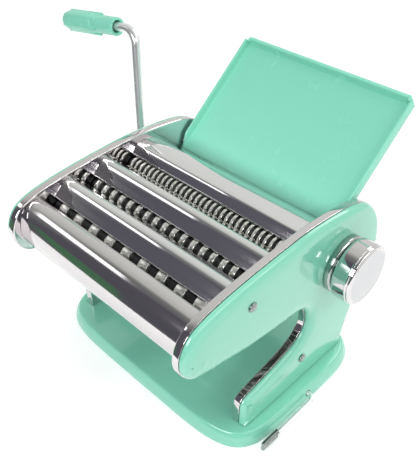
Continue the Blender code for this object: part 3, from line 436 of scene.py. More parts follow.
def turned(profile, centre, sides=72):
    """Solid of an (x, radius) line turned about the X line through centre, a point in (y, z)."""
    bm = bmesh.new()
    rings = []
    for x, radius in profile:
        if radius < SHORTEST:
            rings.append([bm.verts.new((x, centre[0], centre[1]))])
            continue
        turns = [2 * pi * i / sides for i in range(sides)]
        rings.append([bm.verts.new((x, centre[0] + radius * sin(turn), centre[1] + radius * cos(turn)))
                      for turn in turns])
    for low, high in zip(rings, rings[1:]):
        for i in range(sides):
            j = (i + 1) % sides
            corners = [low[i % len(low)], low[j % len(low)], high[j % len(high)], high[i % len(high)]]
            bm.faces.new(list(dict.fromkeys(corners)))
    return bm


def turned_ring(profile, centre, sides=72):
    """Ring of a closed (x, radius) outline turned about the X line through centre."""
    loops = []
    for i in range(sides):
        angle = 2 * pi * i / sides
        loops.append([(x, centre[0] + r * sin(angle), centre[1] + r * cos(angle)) for x, r in profile])
    return closed_loft(loops)


def drawn_out(outline, x_low, x_high, edge, steps=3):
    """Solid of a (y, z) outline drawn out along X, with its ends rounded by edge."""
    normals = left_normals(outline)
    levels = []
    for k in range(steps + 1):
        turn = pi / 2 * k / steps
        levels.append((edge * (1 - sin(turn)), edge * (1 - cos(turn))))
    levels = [(x_low + depth, inset) for inset, depth in levels]
    levels += [(x_high + x_low - x, inset) for x, inset in levels[::-1]]
    loops = [[(x, p.x + n.x * inset, p.y + n.y * inset) for p, n in zip(outline, normals)]
             for x, inset in levels]
    return loft(loops)


def bent_bar(path, radius, sides=28, end_round=0.4):
    """Round bar along a path, with rounded ends."""
    path = [Vector(p) for p in path]
    loops = []
    side = None
    last = len(path) - 1
    for i, point in enumerate(path):
        way = (path[min(i + 1, last)] - point).normalized() + (point - path[max(i - 1, 0)]).normalized()
        way.normalize()
        if side is None:
            side = way.orthogonal().normalized()
        side = (side - way * side.dot(way)).normalized()
        up = way.cross(side)
        rings = [(0.0, 1.0)]
        if i == 0:
            rings = [(0.0, 1 - end_round), (0.12 * end_round, 1 - 0.4 * end_round), (end_round, 1.0)]
        elif i == last:
            rings = [(-end_round, 1.0), (-0.12 * end_round, 1 - 0.4 * end_round), (0.0, 1 - end_round)]
        for along, share in rings:
            centre = point + way * (along * radius)
            loops.append([centre + side * (radius * share * cos(2 * pi * k / sides))
                          + up * (radius * share * sin(2 * pi * k / sides)) for k in range(sides)])
    return loft(loops)


def rounded_path(corners, radius, steps=12):
    """Straight runs joined by arcs."""
    corners = [Vector(c) for c in corners]
    path = [corners[0]]
    for before, corner, after in zip(corners, corners[1:], corners[2:]):
        arrive, leave = (before - corner).normalized(), (after - corner).normalized()
        half = arrive.angle(leave) / 2
        middle = corner + (arrive + leave).normalized() * (radius / sin(half))
        start = corner + arrive * (radius / sin(half) * cos(half)) - middle
        end = corner + leave * (radius / sin(half) * cos(half)) - middle
        sweep = start.angle(end)
        for k in range(steps + 1):
            t = k / steps
            path.append(middle + (start * sin((1 - t) * sweep) + end * sin(t * sweep)) / sin(sweep))
    return path + [corners[-1]]


# %% Pieces that ride on the model
SHARP_TURN = radians(34)


def make_object(name, bm):
    bmesh.ops.recalc_face_normals(bm, faces=bm.faces)
    mesh = bpy.data.meshes.new(name)
    bm.to_mesh(mesh)
    bm.free()
    made = bpy.data.objects.new(name, mesh)
    bpy.context.scene.collection.objects.link(made)
    return made


def seat(made, material, body, slot, *nodes):
    """Give a piece its shading, finish and body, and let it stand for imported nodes."""
    mesh = made.data
    mesh.shade_smooth()
    mesh.set_sharp_from_angle(angle=SHARP_TURN)
    for face in mesh.polygons:
        if len(face.vertices) > 4:
            face.use_smooth = False
    mesh.materials.clear()
    mesh.materials.append(material)
    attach(made, body)
    if nodes:
        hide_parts(*nodes)
    print(made.name, "rides on", body, "with", len(made.data.polygons), "faces")
    return made


def build(name, bm, *seating):
    """A piece from its faces, seated at once."""
    return seat(make_object(name, bm), *seating)


def plain_mesh(made):
    """Replace an object's modifiers by the mesh that they give."""
    depsgraph = bpy.context.evaluated_depsgraph_get()
    mesh = bpy.data.meshes.new_from_object(made.evaluated_get(depsgraph))
    made.modifiers.clear()
    made.data = mesh


def cut_away(made, tools):
    """Subtract closed solids from a piece."""
    whole = bmesh.new()
    for tool in tools:
        bmesh.ops.recalc_face_normals(tool, faces=tool.faces)
        spare = bpy.data.meshes.new("tool")
        tool.to_mesh(spare)
        tool.free()
        whole.from_mesh(spare)
        bpy.data.meshes.remove(spare)
    mesh = bpy.data.meshes.new("tools")
    whole.to_mesh(mesh)
    whole.free()
    tool = bpy.data.objects.new("tools", mesh)
    bpy.context.scene.collection.objects.link(tool)
    modifier = made.modifiers.new("cut", "BOOLEAN")
    modifier.operation = "DIFFERENCE"
    modifier.solver = "EXACT"
    modifier.object = tool
    plain_mesh(made)
    bpy.data.objects.remove(tool)


# %% [markdown]
# ## Places
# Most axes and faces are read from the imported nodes, so that a new piece can't drift from the part that it
# stands for. Only the rollers' axes, the small sizes, and the curves that the packed, faceted nodes can't
# give finely enough are written again.

# %% Places
GAP = 0.0003


def centre_of(node):
    low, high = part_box(node)
    return Vector(((low.y + high.y) / 2, (low.z + high.z) / 2))


frame_low, frame_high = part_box("side_frame_right")
cover_low, cover_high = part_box("side_cover_right")
HALF, RIM_OUT = frame_low.x, frame_high.x
COVER_IN, COVER_OUT = cover_low.x, cover_high.x
FRAME_SHEET = 0.0012
PLATE_OUT = HALF + FRAME_SHEET
FOOT_Z = frame_low.z
SPAN_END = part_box("feed_cover")[1].x
roller_axis = Vector((0.0360, 0.1070))
back_axis = Vector((0.0636, 0.1070))
print("Inner width", round(2000 * HALF, 1), "mm, rim to", round(1000 * RIM_OUT, 1), "mm")

# %% [markdown]
# ## Side outline
# Both sides share one outline: a foot, a crown, a long nose, and a bay cut out under the arm. The points are
# shares of the side's length and height and a smooth curve goes through them, which needs fewer points than
# a polygon and has no flats. The two lowest corners are left sharp where they stand on the base.

# %% Side outline
NOSE_Y = -0.1143
SIDE_LENGTH = 0.1969
SIDE_HEIGHT = 0.1392
SIDE_OUTLINE_shares = (
    (0.857, 0.000), (0.863, 0.066), (0.893, 0.222), (0.944, 0.411), (0.995, 0.608), (1.000, 0.652),
    (0.997, 0.702), (0.982, 0.781), (0.951, 0.860), (0.911, 0.916), (0.860, 0.950), (0.794, 0.973),
    (0.682, 0.992), (0.570, 1.000), (0.428, 0.993), (0.266, 0.976), (0.154, 0.955), (0.093, 0.934),
    (0.052, 0.909), (0.024, 0.871), (0.005, 0.819), (0.000, 0.767), (0.005, 0.722), (0.019, 0.681),
    (0.042, 0.648), (0.080, 0.628), (0.154, 0.607), (0.286, 0.568), (0.423, 0.545), (0.509, 0.537),
    (0.563, 0.520), (0.598, 0.476), (0.614, 0.411), (0.607, 0.343), (0.570, 0.283), (0.509, 0.246),
    (0.401, 0.210), (0.316, 0.185), (0.287, 0.168), (0.274, 0.131), (0.272, 0.000))

ROOM_TAKEN = 0.8             # the outline is drawn in by no more than this share of the room inside it
# A cover's edge grows tighter between these two Y, and behind them it is drawn in less by this share
TAIL_START = 0.000
TAIL_END = 0.060
TAIL_EASE = 0.62
side_line = smooth_curve([(NOSE_Y + a * SIDE_LENGTH, FOOT_Z + b * SIDE_HEIGHT)
                          for a, b in SIDE_OUTLINE_shares], 5)
side_normals = left_normals(side_line)
side_room = room_inside(side_line, side_normals)


def ease(t):
    """0 below 0, 1 above 1, and a soft rise between."""
    t = max(0.0, min(1.0, t))
    return t * t * (3 - 2 * t)


def side_level(x, depth, tail_ease=0.0):
    """The side's outline drawn in by depth, less at the tail, and by no more than most of the room there."""
    level = []
    for p, n, room in zip(side_line, side_normals, side_room):
        at_tail = ease((p.x - TAIL_START) / (TAIL_END - TAIL_START))
        inward = min(depth * (1 - tail_ease * at_tail), room * ROOM_TAKEN)
        level.append((x, p.x + n.x * inward, p.y + n.y * inward))
    return level


print("The side's outline has", len(side_line), "points; its tightest room is",
      round(1000 * min(side_room), 2), "mm")

# %% [markdown]
# ## Side frames
# Each side frame is pressed from sheet: a flat wall towards the cutters, and a rim that turns outwards round
# the enamelled cover. Seen from above the rim is the bright band beside the covers. It could be a thick
# plate, but then the joint between rim and cover would have no depth. A near-black strip lies in it as
# painted shade, so that the joint reads as a black line.

# %% Side frames
RIM_ROUND = 0.0011
LIP_ROUND = 0.0003
LIP_SHEET = 0.0008
LIP_EDGE = 0.0002
ROUND_STEPS = 5
# The strip sizes below place a near-black strip in each frame's joint: painted shade for the joint's black
# line.
SHADE_STRIP_DEPTH = 0.0008
SHADE_STRIP_WIDTH = 0.0028
SHADE_STRIP_FOOT_GAP = 0.0002
SHADE_STRIP_SIDE_GAP = 0.00005
OVERRUN = 0.002              # how far a cutting tool runs past the wall that it cuts
cutter_pairs = ("wide", "middle", "fine")
shafts = [(pair, place) for pair in cutter_pairs for place in ("front", "rear")]
BEARING_RADIUS = 0.00445
BUSH_RADIUS = 0.0085
ROLLER_JOURNAL = 0.0049
ROLLER_TRAVEL = 0.0023


def quarter(x_from, x_to, depth_from, depth_to):
    """Levels (x, depth) of a quarter round: first across in depth, then along x."""
    levels = []
    for k in range(ROUND_STEPS + 1):
        turn = pi / 2 * k / ROUND_STEPS
        levels.append((x_from + (x_to - x_from) * (1 - cos(turn)),
                       depth_from + (depth_to - depth_from) * sin(turn)))
    return levels


def round_tool(centre, radius, x_low, x_high, travel=0.0, sides=48):
    """Cutting solid for a round hole, which may be stretched along Y."""
    loop = []
    for i in range(sides):
        angle = 2 * pi * i / sides
        stretch = travel if sin(angle) > 0 else 0.0
        loop.append((centre[0] + radius * sin(angle) + stretch, centre[1] + radius * cos(angle)))
    return loft([[(x, y, z) for y, z in loop] for x in (x_low, x_high)])


def side_object(name, way, bm):
    """The right side's piece, or for a way of -1 its mirror image on the left."""
    for vert in bm.verts:
        vert.co.x *= way
    return make_object(name, bm)


def side_span(way, low, high):
    """Two X on the right side, or their mirror images on the left, the lower one first."""
    return sorted((way * low, way * high))


def frame_levels():
    """Levels (x, depth) of a frame: its wall, the round to the rim, the lip and the rim's inside."""
    levels = [(HALF, 2 * RIM_ROUND)] + quarter(HALF, HALF + RIM_ROUND, RIM_ROUND, 0)
    for k in range(5):
        turn = pi / 2 * k / 4
        across = HALF + LIP_ROUND * sin(turn)
        levels.append((RIM_OUT - LIP_ROUND + (across - HALF), LIP_ROUND * (1 - cos(turn))))
    return levels + [(RIM_OUT, LIP_SHEET - LIP_EDGE), (RIM_OUT - LIP_EDGE, LIP_SHEET), (PLATE_OUT, LIP_SHEET)]


def painted_shade_strip():
    """Near-black strip inside the rim, which the joint between rim and cover looks onto: painted shade."""
    foot, head = PLATE_OUT + SHADE_STRIP_FOOT_GAP, RIM_OUT - SHADE_STRIP_DEPTH
    near, far = LIP_SHEET + SHADE_STRIP_SIDE_GAP, LIP_SHEET + SHADE_STRIP_WIDTH
    return closed_loft([side_level(x, depth)
                        for x, depth in ((foot, near), (head, near), (head, far), (foot, far))])


for label, way in (("right", 1), ("left", -1)):
    made = side_object("chrome_side_frame_" + label, way,
                       loft([side_level(x, depth) for x, depth in frame_levels()]))
    span = side_span(way, HALF - OVERRUN, PLATE_OUT + OVERRUN)
    holes = [round_tool(centre_of("%s_cutter_%s" % shaft), BEARING_RADIUS, *span) for shaft in shafts]
    holes.append(round_tool(roller_axis, BUSH_RADIUS + GAP, *span, travel=ROLLER_TRAVEL))
    holes.append(round_tool(back_axis, ROLLER_JOURNAL + GAP, *span))
    cut_away(made, holes)
    seat(made, chrome, "machine", "chrome", "side_frame_" + label)
    # Near-black strip in the joint between rim and cover: painted shade.
    made = side_object("dark_joint_liner_" + label, way, painted_shade_strip())
    seat(made, painted_shade_steel, "machine", "steel_sheet")

# %% [markdown]
# ## Side covers
# The enamelled covers are pressings too, and their edge is a long soft roll rather than a bevel: that is why
# a highlight runs all along the crown. The roll is a quarter of an ellipse, wider across the face than it is
# deep, so it can't be made with a round bevel. The outline is drawn in level by level instead.

# %% Side covers
COVER_WALL = 0.0016
JOINT = 0.0004               # the cover stands this far inside the rim's outline
ROLL_WIDTH = 0.0090
ROLL_SLOPE_share = 0.02      # how much of the roll is a plain slope and how much a quarter of an ellipse
ROLL_STEPS = 10
EDGE_STRAIGHT = 0.0006
EDGE_BREAK = 0.00025
FACE_CROWN = 0.00025
SOCKET_HOLE_RADIUS = 0.0050
DRIVE_HOLE_RADIUS = 0.0078
SPINDLE_HOLE_RADIUS = 0.0053
NOSE_PIN = (-0.1080, 0.1175) # (y, z) of a small hole at the right cover's nose
NOSE_PIN_RADIUS = 0.0006
NOSE_PIN_DEPTH = 0.0025
SCREW_SEAT = 0.0004          # each screw stands in a shallow dimple with a dark edge
SCREW_SEAT_RADIUS = 0.0036
cutter_axis = {pair: centre_of(pair + "_cutter_front") for pair in cutter_pairs}


def cover_levels():
    roof = COVER_OUT - COVER_WALL
    levels = [(roof, 1.2 * ROLL_WIDTH), (roof, 0.72 * ROLL_WIDTH), (COVER_IN, COVER_WALL),
              (COVER_IN, EDGE_BREAK), (COVER_IN + EDGE_BREAK, 0)]
    start = COVER_IN + EDGE_STRAIGHT
    face = COVER_OUT - FACE_CROWN
    for k in range(ROLL_STEPS + 1):
        turn = pi / 2 * k / ROLL_STEPS
        slope = ROLL_SLOPE_share * sin(turn) + (1 - ROLL_SLOPE_share) * (1 - cos(turn))
        levels.append((start + (face - start) * sin(turn), ROLL_WIDTH * slope))
    levels += [(COVER_OUT - FACE_CROWN * 0.4, ROLL_WIDTH * 1.5), (COVER_OUT, ROLL_WIDTH * 2.1)]
    return [(x, JOINT + depth) for x, depth in levels]


screw_places = {"%s_%s" % (side, end): centre_of("cover_screw_%s_%s" % (side, end))
                for side in ("left", "right") for end in ("upper", "lower")}
for label, way in (("right", 1), ("left", -1)):
    made = side_object("enamel_side_cover_" + label, way,
                       loft([side_level(x, depth, TAIL_EASE) for x, depth in cover_levels()]))
    span = side_span(way, COVER_OUT - 2 * COVER_WALL, COVER_OUT + OVERRUN)
    if label == "right":
        holes = [round_tool(roller_axis, SPINDLE_HOLE_RADIUS, *span),
                 round_tool(NOSE_PIN, NOSE_PIN_RADIUS, COVER_OUT - NOSE_PIN_DEPTH, COVER_OUT + OVERRUN / 2,
                            sides=16)]
    else:
        holes = [round_tool(roller_axis, DRIVE_HOLE_RADIUS, *span, travel=ROLLER_TRAVEL)]
        holes += [round_tool(axis, SOCKET_HOLE_RADIUS, *span) for axis in cutter_axis.values()]
    span = side_span(way, COVER_OUT - SCREW_SEAT, COVER_OUT + OVERRUN)
    holes += [round_tool(screw_places[label + end], SCREW_SEAT_RADIUS, *span) for end in ("_upper", "_lower")]
    cut_away(made, holes)
    seat(made, enamel, "machine", "mint_enamel", "side_cover_" + label)

# %% [markdown]
# ## Screws
# Each cover is held by two cross-head screws. The heads are alike, so one head and its mirror image are
# modelled, and Geometry Nodes sets them out on points. Four copies made by hand would do, but a change to
# the head would then have to be made four times.

# %% Geometry Nodes helper
def new_tree(name, **sockets):
    """A node tree with named inputs; its output is one geometry."""
    tree = bpy.data.node_groups.new(name, "GeometryNodeTree")
    tree.interface.new_socket("Geometry", in_out="INPUT", socket_type="NodeSocketGeometry")
    for label, kind in sockets.items():
        tree.interface.new_socket(label.replace("_", " "), in_out="INPUT", socket_type="NodeSocket" + kind)
    tree.interface.new_socket("Geometry", in_out="OUTPUT", socket_type="NodeSocketGeometry")
    return tree, tree.nodes.new("NodeGroupInput"), tree.nodes.new("NodeGroupOutput")


def grow(name, tree, **values):
    """Run a tree on an empty object and return the plain mesh object that it gives."""
    made = bpy.data.objects.new(name, bpy.data.meshes.new(name))
    bpy.context.scene.collection.objects.link(made)
    modifier = made.modifiers.new("grow", "NODES")
    modifier.node_group = tree
    keys = {item.name: item.identifier for item in tree.interface.items_tree if item.in_out == "INPUT"}
    for label, value in values.items():
        modifier[keys[label.replace("_", " ")]] = value
    plain_mesh(made)
    return made


def close_tree(tree, copies, given, result):
    """End a tree: the copies are made real and get the finish."""
    real = new_node(tree, "GeometryNodeRealizeInstances", Geometry=copies)
    finish = new_node(tree, "GeometryNodeSetMaterial", Geometry=real.outputs[0],
                      Material=given.outputs["Finish"])
    wire(tree, result, Geometry=finish.outputs[0])
    return tree


def set_out_tree(name):
    """Points along a line, and a copy of one object on each."""
    tree, given, result = new_tree(name, Count="Int", Step="Vector", Start="Vector", Copy="Object",
                                   Finish="Material")
    line = new_node(tree, "GeometryNodeMeshLine", Count=given.outputs["Count"],
                    Start_Location=given.outputs["Start"], Offset=given.outputs["Step"])
    info = new_node(tree, "GeometryNodeObjectInfo", Object=given.outputs["Copy"])
    copies = new_node(tree, "GeometryNodeInstanceOnPoints", Points=line.outputs["Mesh"],
                      Instance=info.outputs["Geometry"])
    return close_tree(tree, copies.outputs[0], given, result)


row_tree = set_out_tree("row_of_copies")
print("Tree", row_tree.name, "has", len(row_tree.nodes), "nodes")

# %% Screws
SCREW_HEAD = 0.0032
SCREW_DOME = 0.0016
SCREW_WALL = 0.0003
SCREW_SHANK = 0.0015
SCREW_LENGTH = 0.0040
CROSS_WIDTH = 0.0011
CROSS_REACH = 0.0021
CROSS_DEPTH = 0.0014


def cross_box(half_y, half_z, top):
    loop = [(-half_y, -half_z), (half_y, -half_z), (half_y, half_z), (-half_y, half_z)]
    inner = [(y * 0.55, z * 0.55) for y, z in loop]
    return loft([[(top - CROSS_DEPTH, y, z) for y, z in inner], [(top + OVERRUN / 2, y, z) for y, z in loop]])


def make_screw():
    profile = [(-SCREW_LENGTH, 0), (-SCREW_LENGTH, SCREW_SHANK), (0, SCREW_SHANK), (0, SCREW_HEAD * 0.97),
               (0.00012, SCREW_HEAD)]
    for k in range(7):
        turn = pi / 2 * k / 6
        profile.append((SCREW_WALL + (SCREW_DOME - SCREW_WALL) * sin(turn),
                        SCREW_HEAD * (0.999 * cos(turn) ** 0.8)))
    profile[-1] = (SCREW_DOME, 0)
    screw = make_object("screw_pattern", turned(profile, (0, 0), 40))
    cut_away(screw, [cross_box(CROSS_WIDTH / 2, CROSS_REACH, SCREW_DOME),
                     cross_box(CROSS_REACH, CROSS_WIDTH / 2, SCREW_DOME)])
    return screw


screw = make_screw()
mirror_screw = screw.copy()
mirror_screw.data = screw.data.copy()
mirror_screw.data.transform(Matrix.Diagonal((-1, 1, 1, 1)))
mirror_screw.data.flip_normals()
bpy.context.scene.collection.objects.link(mirror_screw)
for label, way, pattern in (("right", 1, screw), ("left", -1, mirror_screw)):
    upper, lower = screw_places[label + "_upper"], screw_places[label + "_lower"]
    face = way * (COVER_OUT + GAP)
    made = grow("cover_screws_" + label, row_tree, Count=2, Start=(face, lower.x, lower.y),
                Step=(0.0, upper.x - lower.x, upper.y - lower.y), Copy=pattern, Finish=dark_nickel)
    seat(made, dark_nickel, "machine", "chrome", "cover_screw_%s_lower" % label,
         "cover_screw_%s_upper" % label)
for pattern in (screw, mirror_screw):
    bpy.data.objects.remove(pattern)

# %% [markdown]
# ## Steel covers
# Four bent sheets close the top between the side frames and leave three slots for the dough, and a fifth
# covers the back roller. Each keeps one section all along, so it is an outline drawn out along X. The
# section is a smooth curve with a thickness added on its inner side, which gives the long reflections of
# rolled sheet.

# %% Steel covers
SHEET = 0.001
SHEET_EDGE = 0.00022
SLOT_RISE = 0.0102
SLOTS = {"wide": (-0.0813, 0.1253, 0.0086), "middle": (-0.0478, 0.1270, 0.0116),
         "fine": (-0.0121, 0.1290, 0.0158)}
HUMP_RISE = 0.0080
HUMP_shares = ((0.0, -0.15), (0.0, 0.0), (0.15, 0.375), (0.30, 0.755), (0.42, 0.96), (0.53, 1.01),
               (0.66, 0.91), (0.84, 0.50), (1.0, 0.12), (1.0, -0.11))
NOSE_COVER_REACH = 0.0226
NOSE_COVER_DROP = 0.0312
NOSE_shares = ((0.0, -0.06), (0.0, 0.0), (0.08, 0.11), (0.27, 0.16), (0.50, 0.145), (0.77, 0.02),
               (0.93, -0.17), (1.0, -0.45), (0.94, -0.70), (0.75, -1.0))
FEED_COVER_LENGTH = 0.0446
FEED_COVER_DROP = 0.0112
FEED_shares = ((0.0, -0.12), (0.0, 0.0), (0.10, 0.46), (0.18, 0.56), (0.35, 0.55), (0.52, 0.40),
               (0.63, 0.12), (0.74, -0.26), (1.0, -1.0))


def slot_edge(pair, way):
    y, z, width = SLOTS[pair]
    return y + way * width / 2, z + SLOT_RISE


def bent_sheet(name, line, steps=6, finish=cover_steel):
    """A sheet whose outer face follows the line, which runs with the machine's inside on its left."""
    outer = smooth_curve(line, steps)
    inner = [p + n * SHEET for p, n in zip(outer, left_normals(outer, False))]
    outline = outer + inner[::-1]
    return build("polished_" + name, drawn_out(outline, -SPAN_END, SPAN_END, SHEET_EDGE),
                 finish, "machine", "steel_sheet", name)


start_y, start_z = slot_edge("wide", -1)
# The nose cover gets the steel that is painted darker: painted shade.
bent_sheet("nose_cover", [(start_y - a * NOSE_COVER_REACH, start_z + b * NOSE_COVER_DROP)
                          for a, b in NOSE_shares], finish=nose_painted_darker)
for name, before, after in (("wide_slot_cover", "wide", "middle"), ("middle_slot_cover", "middle", "fine")):
    (low_y, low_z), (high_y, high_z) = slot_edge(before, 1), slot_edge(after, -1)
    line = [(low_y + a * (high_y - low_y), low_z + a * (high_z - low_z) + b * HUMP_RISE)
            for a, b in HUMP_shares]
    bent_sheet(name, line[::-1])
start_y, start_z = slot_edge("fine", 1)
line = [(start_y + a * FEED_COVER_LENGTH, start_z + b * FEED_COVER_DROP) for a, b in FEED_shares]
bent_sheet("feed_cover", line[::-1])

REAR_COVER_RADIUS = 0.0152
REAR_COVER_LIP = 0.0080
REAR_COVER_SKIRT = 0.0210
REAR_COVER_LEAN = 0.0076
line = [(back_axis.x - REAR_COVER_LIP, back_axis.y + REAR_COVER_RADIUS)]
for i in range(9):
    turn = pi / 2 * i / 8
    line.append((back_axis.x + REAR_COVER_RADIUS * sin(turn), back_axis.y + REAR_COVER_RADIUS * cos(turn)))
line.append((back_axis.x + REAR_COVER_RADIUS - REAR_COVER_LEAN, back_axis.y - REAR_COVER_SKIRT))
bent_sheet("rear_cover", line[::-1], 3)

# %% [markdown]
# ## Cutters
# A cutter is a shaft with rings. Two shafts lie side by side with the rings of one between the rings of the
# other, and each pair shears the dough into strips as wide as a ring. The rings follow a rule, so one node
# tree makes them for all three widths: a ring's section is swept round a circle, and copies stand one pitch
# apart.

# %% Ring tree
RING_SIDES = 64
RING_SUNK = 0.0005       # the rings' inner edge lies this far inside the shaft


def make_ring_tree():
    tree, given, result = new_tree("cutter_rings", Rings="Int", Pitch="Float", Ring_Width="Float",
                                   Radius="Float", Root="Float", Edge="Float", Place="Vector",
                                   Finish="Material")
    rings, pitch, radius = (given.outputs[name] for name in ("Rings", "Pitch", "Radius"))
    root = maths(tree, "SUBTRACT", given.outputs["Root"], RING_SUNK)
    middle = maths(tree, "MULTIPLY", maths(tree, "ADD", radius, root), 0.5)
    rail = new_node(tree, "GeometryNodeCurvePrimitiveCircle", Resolution=RING_SIDES, Radius=middle)
    section = new_node(tree, "GeometryNodeCurvePrimitiveQuadrilateral",
                       Width=maths(tree, "SUBTRACT", radius, root), Height=given.outputs["Ring Width"])
    fillet = new_node(tree, "GeometryNodeFilletCurve", mode="POLY", Curve=section.outputs["Curve"], Count=2,
                      Radius=given.outputs["Edge"])
    sweep = new_node(tree, "GeometryNodeCurveToMesh", Curve=rail.outputs["Curve"],
                     Profile_Curve=fillet.outputs["Curve"])
    upright = new_node(tree, "GeometryNodeTransform", Geometry=sweep.outputs["Mesh"],
                       Rotation=(0.0, pi / 2, 0.0))
    run = maths(tree, "MULTIPLY", maths(tree, "SUBTRACT", rings, 1.0), pitch)
    step = new_node(tree, "ShaderNodeCombineXYZ", X=pitch)
    start = new_node(tree, "ShaderNodeCombineXYZ", X=maths(tree, "MULTIPLY", run, -0.5))
    line = new_node(tree, "GeometryNodeMeshLine", Count=rings, Start_Location=start.outputs[0],
                    Offset=step.outputs[0])
    copies = new_node(tree, "GeometryNodeInstanceOnPoints", Points=line.outputs["Mesh"],
                      Instance=upright.outputs["Geometry"])
    placed = new_node(tree, "GeometryNodeTransform", Geometry=copies.outputs[0],
                      Translation=given.outputs["Place"])
    return close_tree(tree, placed.outputs[0], given, result)


ring_tree = make_ring_tree()
print("Tree", ring_tree.name, "has", len(ring_tree.nodes), "nodes")

# %% Cutter shafts and rings
CUTTER_RADIUS = 0.0083
CUTTER_ROOT = 0.0063
CUTTER_ZONE = 0.075
JOURNAL_RADIUS = 0.0040
COLLAR_GAP = 0.0008
SHAFT_EDGE = 0.0004
ROLLER_END = HALF - COLLAR_GAP
PITCHES = {"wide": 0.0169, "middle": 0.00907, "fine": 0.00495}
journal_left, journal_right = (corner.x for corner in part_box("wide_cutter_front"))


def ring_count(pitch, place):
    """An odd number of rings on the rear shaft, and one less on the front one, so that they mesh."""
    fits = int(2 * CUTTER_ZONE / pitch + 0.5)
    count = fits + 1 if fits % 2 == 0 else fits
    return count if place == "rear" else count - 1


def shaft_profile(radius, journal):
    corners = [(journal_left, 0), (journal_left, journal), (-ROLLER_END, journal), (-ROLLER_END, radius),
               (ROLLER_END, radius), (ROLLER_END, journal), (journal_right, journal), (journal_right, 0)]
    return soften(corners, SHAFT_EDGE, 3, closed=False)


for pair, place in shafts:
    node = "%s_cutter_%s" % (pair, place)
    body = "%s_%s" % (pair, place)
    axis = centre_of(node)
    pitch = PITCHES[pair]
    rings = grow("%s_cutter_rings_%s" % (pair, place), ring_tree, Rings=ring_count(pitch, place), Pitch=pitch,
                 Ring_Width=pitch / 2 - GAP, Radius=CUTTER_RADIUS, Root=CUTTER_ROOT,
                 Edge=min(0.0004, pitch * 0.05), Place=(0.0, axis.x, axis.y), Finish=cutter_steel)
    seat(rings, cutter_steel, body, "cutter_steel", node)
    # The shaft between the rings is near-black: painted shade in the grooves.
    build("%s_cutter_shaft_%s" % (pair, place),
          turned(shaft_profile(CUTTER_ROOT, JOURNAL_RADIUS), axis, 48), painted_shade_steel, body, "cutter_steel")

# %% [markdown]
# ## Combs
# Under every cutter shaft a steel comb lifts the strips out of the grooves, or they would wind round the
# shaft. Each comb is a plate with one finger for each groove. The fingers are a row of copies from the tree
# that sets out the screws.

# %% Combs and scrapers
COMB_THICKNESS = 0.0010
BLADE_EDGE = 0.0002
FINGER_GAP = 0.00045
FINGER_FOOT = 0.0006         # the fingers reach this far down into the plate


def soft_box(low, high, edge):
    """Box with its long edges rounded, drawn out along X."""
    outline = soften([(low[1], low[2]), (high[1], low[2]), (high[1], high[2]), (low[1], high[2])], edge, 3)
    return drawn_out(outline, low[0], high[0], edge, 2)


for pair, place in shafts:
    node = "%s_comb_%s" % (pair, place)
    low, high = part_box(node)
    # Comb plates and fingers are near-black: painted shade under the cutters.
    build("%s_comb_plate_%s" % (pair, place), soft_box(low, high, BLADE_EDGE),
          painted_shade_steel, "machine", "steel_sheet", node)
    pitch = PITCHES[pair]
    fingers = ring_count(pitch, place) - 1
    width = pitch / 2 - 2 * FINGER_GAP + GAP
    rise = CUTTER_RADIUS - CUTTER_ROOT - GAP
    finger = make_object("finger_pattern", soft_box((-width / 2, -COMB_THICKNESS * 0.4, -FINGER_FOOT),
                                                    (width / 2, COMB_THICKNESS * 0.4, rise), 0.00015))
    row = grow("%s_comb_fingers_%s" % (pair, place), row_tree, Count=fingers, Step=(pitch, 0.0, 0.0),
               Start=(-(fingers - 1) / 2 * pitch, (low.y + high.y) / 2, high.z), Copy=finger,
               Finish=painted_shade_steel)
    bpy.data.objects.remove(finger)
    seat(row, painted_shade_steel, "machine", "steel_sheet")
for place in ("front", "back"):
    node = "roller_scraper_" + place
    # The scraper blades are near-black too: painted shade.
    build("roller_scraper_blade_" + place, soft_box(*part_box(node), BLADE_EDGE),
          painted_shade_steel, "machine", "steel_sheet", node)

# %% [markdown]
# ## Smooth rollers, bushes and tie rods
# The two smooth rollers press the dough, and the front one sits in eccentric bushes that shift it. Three tie
# rods hold the side frames apart. All are plain turned pieces, so each is one profile turned about X.

# %% Rollers, bushes and tie rods
ROLLER_RADIUS = 0.0125
for name, axis in (("front_roller", roller_axis), ("back_roller", back_axis)):
    build("ground_" + name, turned(shaft_profile(ROLLER_RADIUS, ROLLER_JOURNAL), axis, 96),
          roller_steel, name, "steel_sheet", name)
for label in ("left", "right"):
    low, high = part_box("eccentric_bush_" + label)
    outline = soften([(low.x, ROLLER_JOURNAL + GAP), (high.x, ROLLER_JOURNAL + GAP), (high.x, BUSH_RADIUS),
                      (low.x, BUSH_RADIUS)], 0.0002, 2)
    build("turned_bush_" + label, turned_ring(outline, roller_axis, 64),
          gear_steel, "roller_carrier", "gear_steel", "eccentric_bush_" + label)
for name in ("nose", "middle", "rear"):
    node = "tie_rod_" + name
    low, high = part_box(node)
    radius = (high.z - low.z) / 2
    profile = soften([(low.x, 0), (low.x, radius), (high.x, radius), (high.x, 0)], SHAFT_EDGE, 3,
                     closed=False)
    build("drawn_" + node, turned(profile, centre_of(node), 40), plate_steel, "machine", "steel_sheet", node)

# %% [markdown]
# ## Knob
# The thickness knob pulls out, turns and drops back in. A fixed ring stands under it on the cover. The cap's
# edge has two fine rings and its face is satin, so the cap is one turned profile with small grooves, and the
# satin is a second material on the faces near the axis.

